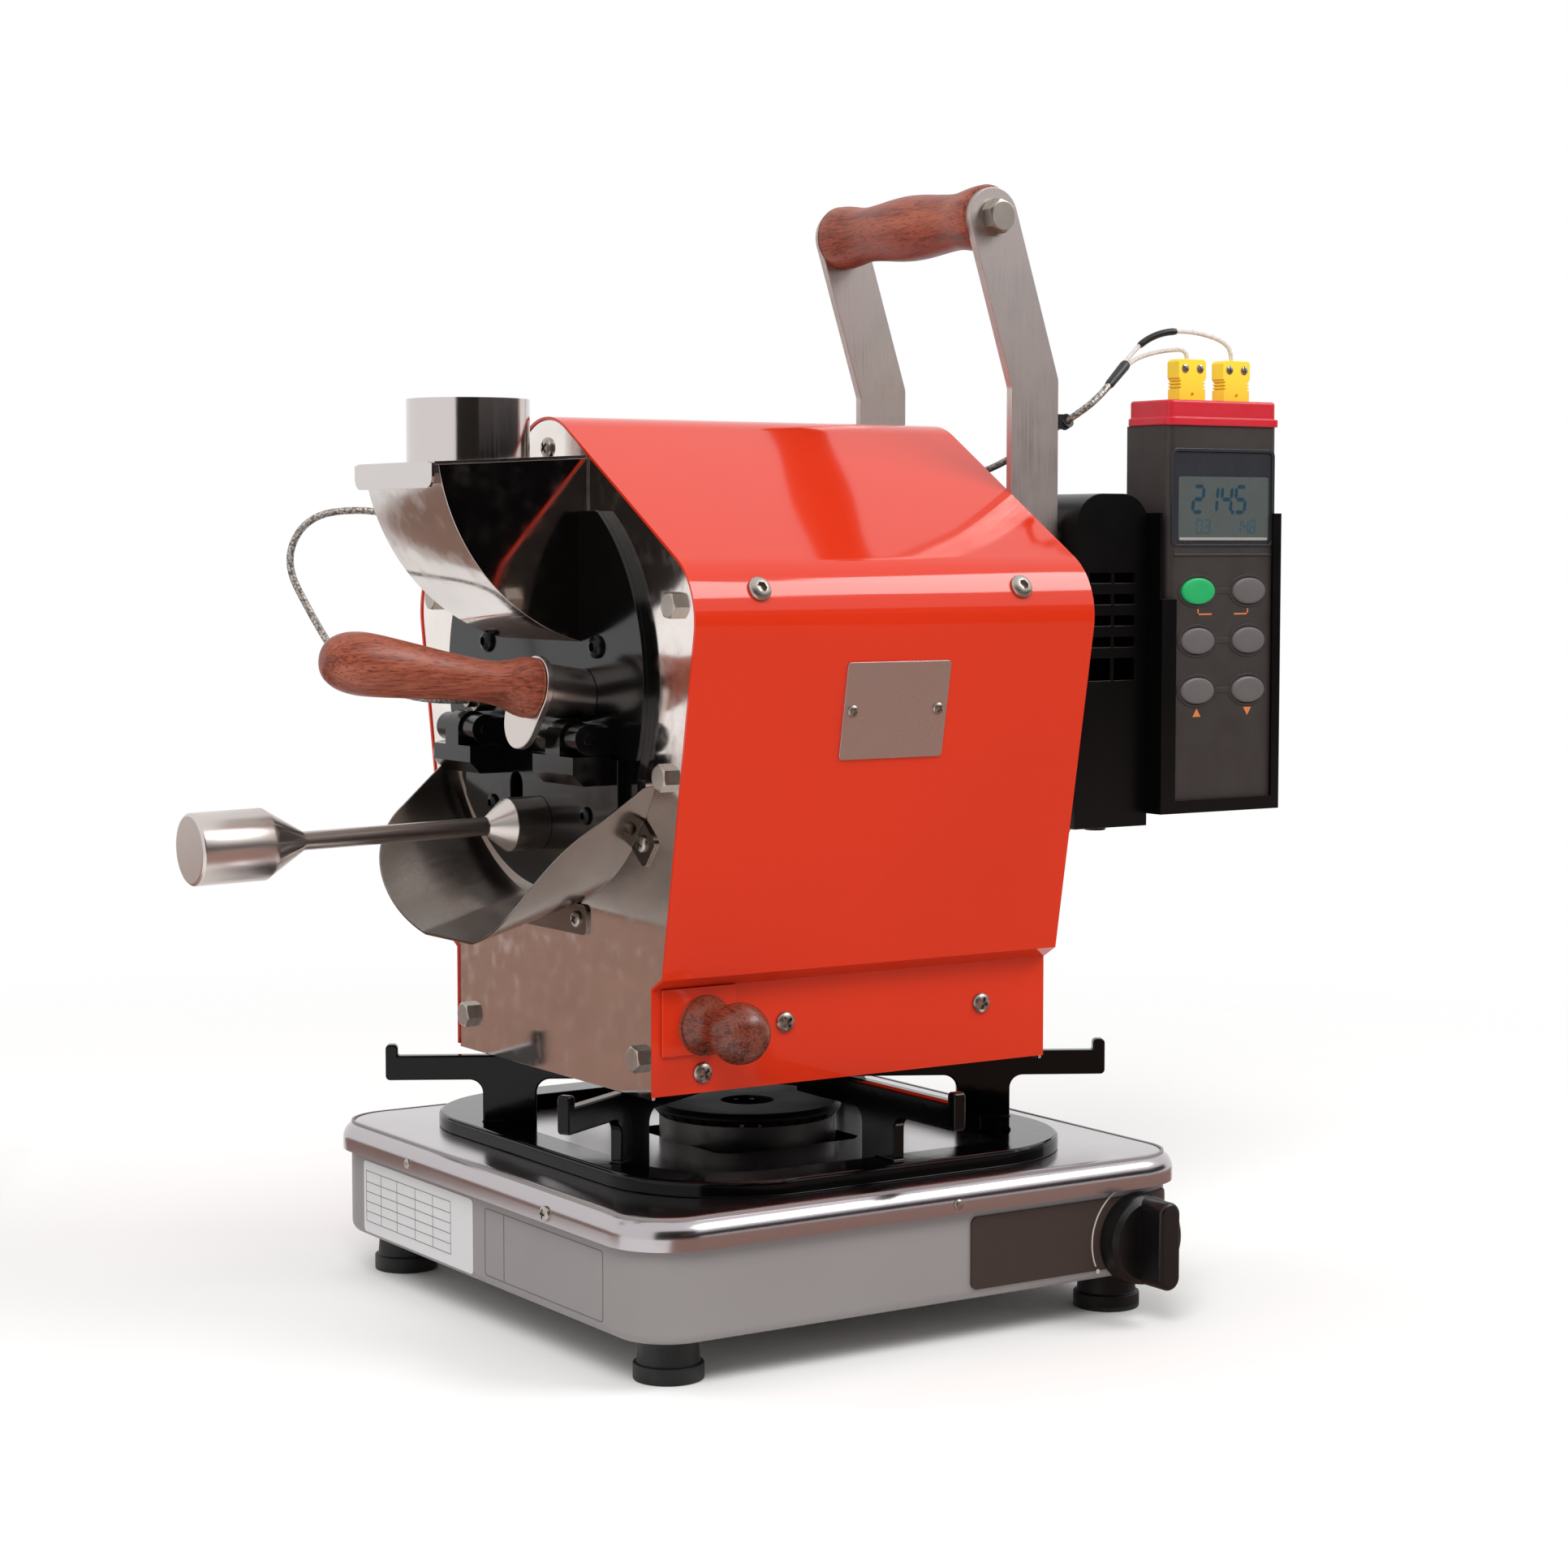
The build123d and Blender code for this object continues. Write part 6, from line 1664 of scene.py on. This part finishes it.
    def plug_screws(self) -> None:
        """Set the two screws on each plug's face."""
        off = self.plug_screw_off
        seats = [((self.plug_x[1], y + side * off, self.plug_screw_z), (1.0, 0.0, 0.0))
                 for y in self.plug_y for side in (-1, 1)]
        settled(self.plug_head.on("plug_screws", seats, SCREW_STEEL, 1.2), SCREW_STEEL, self.body, "steel")


# ------------------------------------------------------------------ leads
@dataclass(frozen=True)
class Leads:
    """The bean probe's lead, the two wires that it divides into, their sleeves and the clip."""

    body: str = "roaster"
    lead_radius: float = 1.6
    wire_radius: float = 1.0
    lead: tuple[Place, ...] = (
        (-52, -13, 264.7), (-52, -26, 264.7), (-58, -39, 267), (-75, -49, 272), (-97, -53, 282),
        (-113, -58, 301), (-120, -68, 325), (-116, -59, 345), (-110, -36, 349), (-108, -7, 344),
        (-107, 30, 334.5), (-106.5, 75, 332), (-107, 121, 331.5), (-106, 164, 333), (-102, 204, 339),
        (-85, 228, 351.5), (-60, 236, 359.5), (-32, 235, 362.5), (-6, 233.5, 366), (18, 231.5, 371.5),
        (39, 229.6, 379.2), (67, 232.8, 390.8), (67.5, 244.2, 398.5), (64.5, 252, 404))
    near: tuple[Place, ...] = (
        (58.982, 266.979, 413.216), (57.483, 270.878, 415.965), (57.8, 281.0, 419.6), (61.5, 290.5, 421.4),
        (65.0, 297.4, 421.5), (65.0, 297.4, 417.0))
    far: tuple[Place, ...] = (
        (58.982, 265.712, 415.014), (57.483, 269.610, 417.763), (57.6, 277.5, 425.0), (59.5, 288.0, 429.6),
        (61.5, 301.0, 430.2), (63.5, 312.0, 428.4), (64.6, 319.5, 425.8), (65.0, 323.9, 422.0),
        (65.0, 323.9, 417.0))
    divide: tuple[Place, Place] = ((64.5, 252.0, 404.0), (58.982, 266.346, 414.115))
    divide_radii: Point = (2.1, 2.5)
    wire_sleeve: Point = (0.18, 0.44)
    wire_sleeve_radii: Point = (1.6, 1.6)
    sleeve_sides: int = 20
    sleeve_end: float = 0.25

    def line(self, name: str, route: Sequence[Place], radius: float) -> Piece:
        """Make a smooth NURBS line through a route's control points.

        Args:
            name: The piece's name.
            route: Its control points in millimetres.
            radius: Its radius in millimetres.

        Returns:
            The curve.
        """
        curve = bpy.data.curves.new(name, "CURVE")
        curve.dimensions = "3D"
        spline = curve.splines.new("NURBS")
        spline.points.add(len(route) - 1)
        for point, place in zip(spline.points, route):
            point.co = (*(c * MM for c in place), 1.0)
        spline.order_u = 3
        spline.use_endpoint_u = True
        spline.resolution_u = 8
        curve.bevel_depth = radius * MM
        curve.bevel_resolution = 4
        curve.use_fill_caps = True
        return linked(name, curve)

    def followed(self, piece: Piece) -> list[Vector]:
        """Read the points along a curve's own line.

        Args:
            piece: The curve.

        Returns:
            Its points in millimetres.
        """
        bare = linked("bare_line", piece.data.copy())
        bare.data.bevel_depth = 0
        bpy.context.view_layer.update()
        graph = bpy.context.evaluated_depsgraph_get()
        points = [v.co / MM for v in bpy.data.meshes.new_from_object(bare.evaluated_get(graph)).vertices]
        bpy.data.objects.remove(bare)
        return points

    def sleeve(self, name: str, spots: Sequence[Vector], radii: Point) -> Piece:
        """Build a shrunk tube along a line, drawn in at both ends.

        Args:
            name: The piece's name.
            spots: Points of the line in millimetres.
            radii: Radius at the start and at the end.

        Returns:
            The closed tube.
        """
        last, steps = len(spots) - 1, self.sleeve_sides
        points = []
        for i, spot in enumerate(spots):
            way = (spots[min(i + 1, last)] - spots[max(i - 1, 0)]).normalized()
            side = way.cross(Vector((1, 0, 0))).normalized()
            up = way.cross(side)
            radius = radii[0] + (radii[1] - radii[0]) * (i / last)
            if i in (0, last):
                radius -= self.sleeve_end
            points += [tuple(spot + (side * math.cos(a) + up * math.sin(a)) * radius)
                       for a in (2 * math.pi * k / steps for k in range(steps))]
        return sharpened(piece_of(name, points, capped(len(spots), steps)), SLEEVE_TURN)

    def build(self) -> None:
        lead = self.line("probe_lead", self.lead, self.lead_radius)
        near = self.line("near_wire", self.near, self.wire_radius)
        far = self.line("far_wire", self.far, self.wire_radius)
        start, end = (Vector(place) for place in self.divide)
        shrunk = self.sleeve("dividing_sleeve", [start + (end - start) * i / 12 for i in range(13)],
                             self.divide_radii)
        wire = self.followed(far)
        low, high = (int(share * (len(wire) - 1)) for share in self.wire_sleeve)
        second = self.sleeve("wire_sleeve", wire[low:high + 1], self.wire_sleeve_radii)
        settled(lead, LEAD_BRAID, self.body, "braid", "bean_lead")
        settled(near, WIRE_YARN, self.body, "white_wire", "plug_wires")
        settled(far, WIRE_YARN, self.body, "white_wire", "plug_wires")
        settled(shrunk, SHRINK, self.body, "black_plastic", "lead_sleeves")
        settled(second, SHRINK, self.body, "black_plastic")
        clip = fine("lead_clip", SHRINK, 0.3)


# ------------------------------------------------------------------ studio
@dataclass(frozen=True)
class Backdrop(Finish):
    """Pale studio floor that fades out between two distances in metres, so that it has no far edge."""

    near: float = 0.55
    far: float = 1.25

    def pattern(self, surface: Surface) -> None:
        """Fade the floor to nothing.

        Args:
            surface: The material's nodes.
        """
        tree = surface.tree
        place = add(tree, "ShaderNodeTexCoord").outputs["Object"]
        away = add(tree, "ShaderNodeVectorMath", {0: place}, operation="LENGTH").outputs["Value"]
        fade = add(tree, "ShaderNodeMapRange", {0: away, 1: self.near, 2: self.far},
                   interpolation_type="SMOOTHSTEP")
        clear = add(tree, "ShaderNodeBsdfTransparent")
        mix = add(tree, "ShaderNodeMixShader", {
            0: fade.outputs[0], 1: surface.shader.outputs[0], 2: clear.outputs[0]})
        out = next(node for node in tree.nodes if node.bl_idname == "ShaderNodeOutputMaterial")
        tree.links.new(mix.outputs[0], out.inputs["Surface"])


@dataclass(frozen=True)
class Card:
    """A card that only reflections see, which gives bright metal its edges; its corners are metres."""

    name: str
    corners: tuple[Place, Place, Place, Place]
    colour: str

    def build(self) -> None:
        """Stand the card up."""
        corners = [tuple(c / MM for c in corner) for corner in self.corners]
        card = piece_of(self.name, corners, [[0, 1, 2, 3]], False)
        card.data.materials.append(Finish(self.name + " cloth", self.colour, 1.0, specular=0.0).material())
        card.visible_camera = False
        card.visible_diffuse = False
        card.visible_shadow = False
        card.visible_transmission = False


@dataclass(frozen=True)
class Lamp:
    """A soft lamp: its places and size are metres and its power is watts."""

    name: str
    place: Place
    target: Place
    size: Point
    power: float
    mirrored: bool = False

    def build(self) -> None:
        """Hang the lamp, and hide it from bright metal unless it is to be mirrored."""
        data = bpy.data.lights.new(self.name, "AREA")
        data.shape = "RECTANGLE"
        data.size, data.size_y = self.size
        data.energy = self.power
        lamp = linked(self.name, data)
        lamp.location = self.place
        way = Vector(self.target) - Vector(self.place)
        lamp.rotation_euler = way.to_track_quat("-Z", "Y").to_euler()
        lamp.visible_glossy = self.mirrored


@dataclass(frozen=True)
class Studio:
    """Camera, floor, cards and lamps; nothing here is part of the roaster."""

    eye: Place = (1.1917, -0.6591, 0.3329)
    azimuth: float = 56.835
    pitch: float = 4.231
    lens: float = 73.09
    film: float = 36.0
    room: float = 0.5
    floor_half: float = 2000.0
    cards: tuple[Card, ...] = (
        Card("low side card",
             ((0.24, -0.1, 0.002), (2.6, -0.9, 0.002), (1.6, 2.4, 0.002), (-0.1, 0.75, 0.002)), "#9A7C72"),
        Card("tall side card",
             ((1.9, -0.3, 0.135), (0.2, 2.1, 0.135), (0.2, 2.1, 0.45), (1.9, -0.3, 0.45)), "#0C0B0B"),
        Card("upper side card",
             ((1.9, -0.3, 0.45), (0.2, 2.1, 0.45), (0.2, 2.1, 0.6), (1.9, -0.3, 0.6)), "#6E6A69"),
        Card("eye side card",
             ((1.9, -2.3, -0.1), (3.2, 1.3, -0.1), (3.2, 1.3, 2.4), (1.9, -2.3, 2.4)), "#2A2624"),
        Card("front card",
             ((0.0, -0.3, 0.003), (-0.5, -0.05, 0.003), (-1.9, -1.1, 0.09), (-0.6, -1.9, 0.09)), "#8D7267"))
    lamps: tuple[Lamp, ...] = (
        Lamp("key", (1.7, -1.3, 2.2), (0, 0, 0.2), (1.4, 1.4), 46),
        Lamp("top", (-0.5, -0.3, 2.4), (0, 0.1, 0.2), (1.6, 1.6), 9),
        Lamp("fill", (-2.2, -1.4, 1.4), (0, 0, 0.25), (1.4, 1.4), 14),
        Lamp("rim", (1.15, 1.35, 1.75), (0.1, 0.1, 0.3), (1.3, 0.8), 22, mirrored=True))

    def camera(self) -> None:
        """Set the camera."""
        data = bpy.data.cameras.new("camera")
        data.lens = self.lens
        data.sensor_width = self.film
        camera = linked("camera", data)
        camera.location = self.eye
        camera.rotation_euler = (math.radians(90 - self.pitch), 0, math.radians(self.azimuth))
        bpy.context.scene.camera = camera

    def floor(self) -> None:
        """Lay the pale floor."""
        half = self.floor_half
        floor = piece_of("floor", Along.Z.raised(rectangle(-half, half, -half, half), 0), [[0, 1, 2, 3]],
                         False)
        floor.data.materials.append(Backdrop("pale studio floor", "#F6F5F4", 0.9).material())

    def world(self) -> None:
        """Fill the room with soft light; what the eye, metal and glass see of it is white."""
        world = bpy.data.worlds.new("studio")
        bpy.context.scene.world = world
        world.use_nodes = True
        tree = world.node_tree
        tree.nodes.clear()
        path = add(tree, "ShaderNodeLightPath").outputs
        seen = path["Is Camera Ray"]
        for ray in ("Is Transmission Ray", "Is Glossy Ray"):
            seen = add(tree, "ShaderNodeMath", {0: seen, 1: path[ray]}, operation="MAXIMUM").outputs[0]
        level = add(tree, "ShaderNodeMapRange", {0: seen, 3: self.room, 4: 1.0}).outputs[0]
        sky = add(tree, "ShaderNodeBackground", {"Color": (1.0, 1.0, 1.0, 1.0), "Strength": level})
        add(tree, "ShaderNodeOutputWorld", {"Surface": sky.outputs[0]})

    def build(self) -> None:
        """Set up the studio."""
        bpy.context.scene.view_settings.view_transform = "Standard"
        self.camera()
        self.floor()
        self.world()
        for thing in (*self.cards, *self.lamps):
            thing.build()


def main() -> None:
    """Build the studio and the roaster, part by part; the camera and the leads come first."""
    logging.basicConfig(level=logging.INFO, format="%(message)s")
    for part in (Studio(), Leads(), Stove(), Housing(), RoastingFront(), BeanPath(), CarryHandle(),
                 MotorBox(), Logger()):
        part.build()
        LOG.info("%s built", type(part).__name__)


if __name__ == "__main__":
    main()
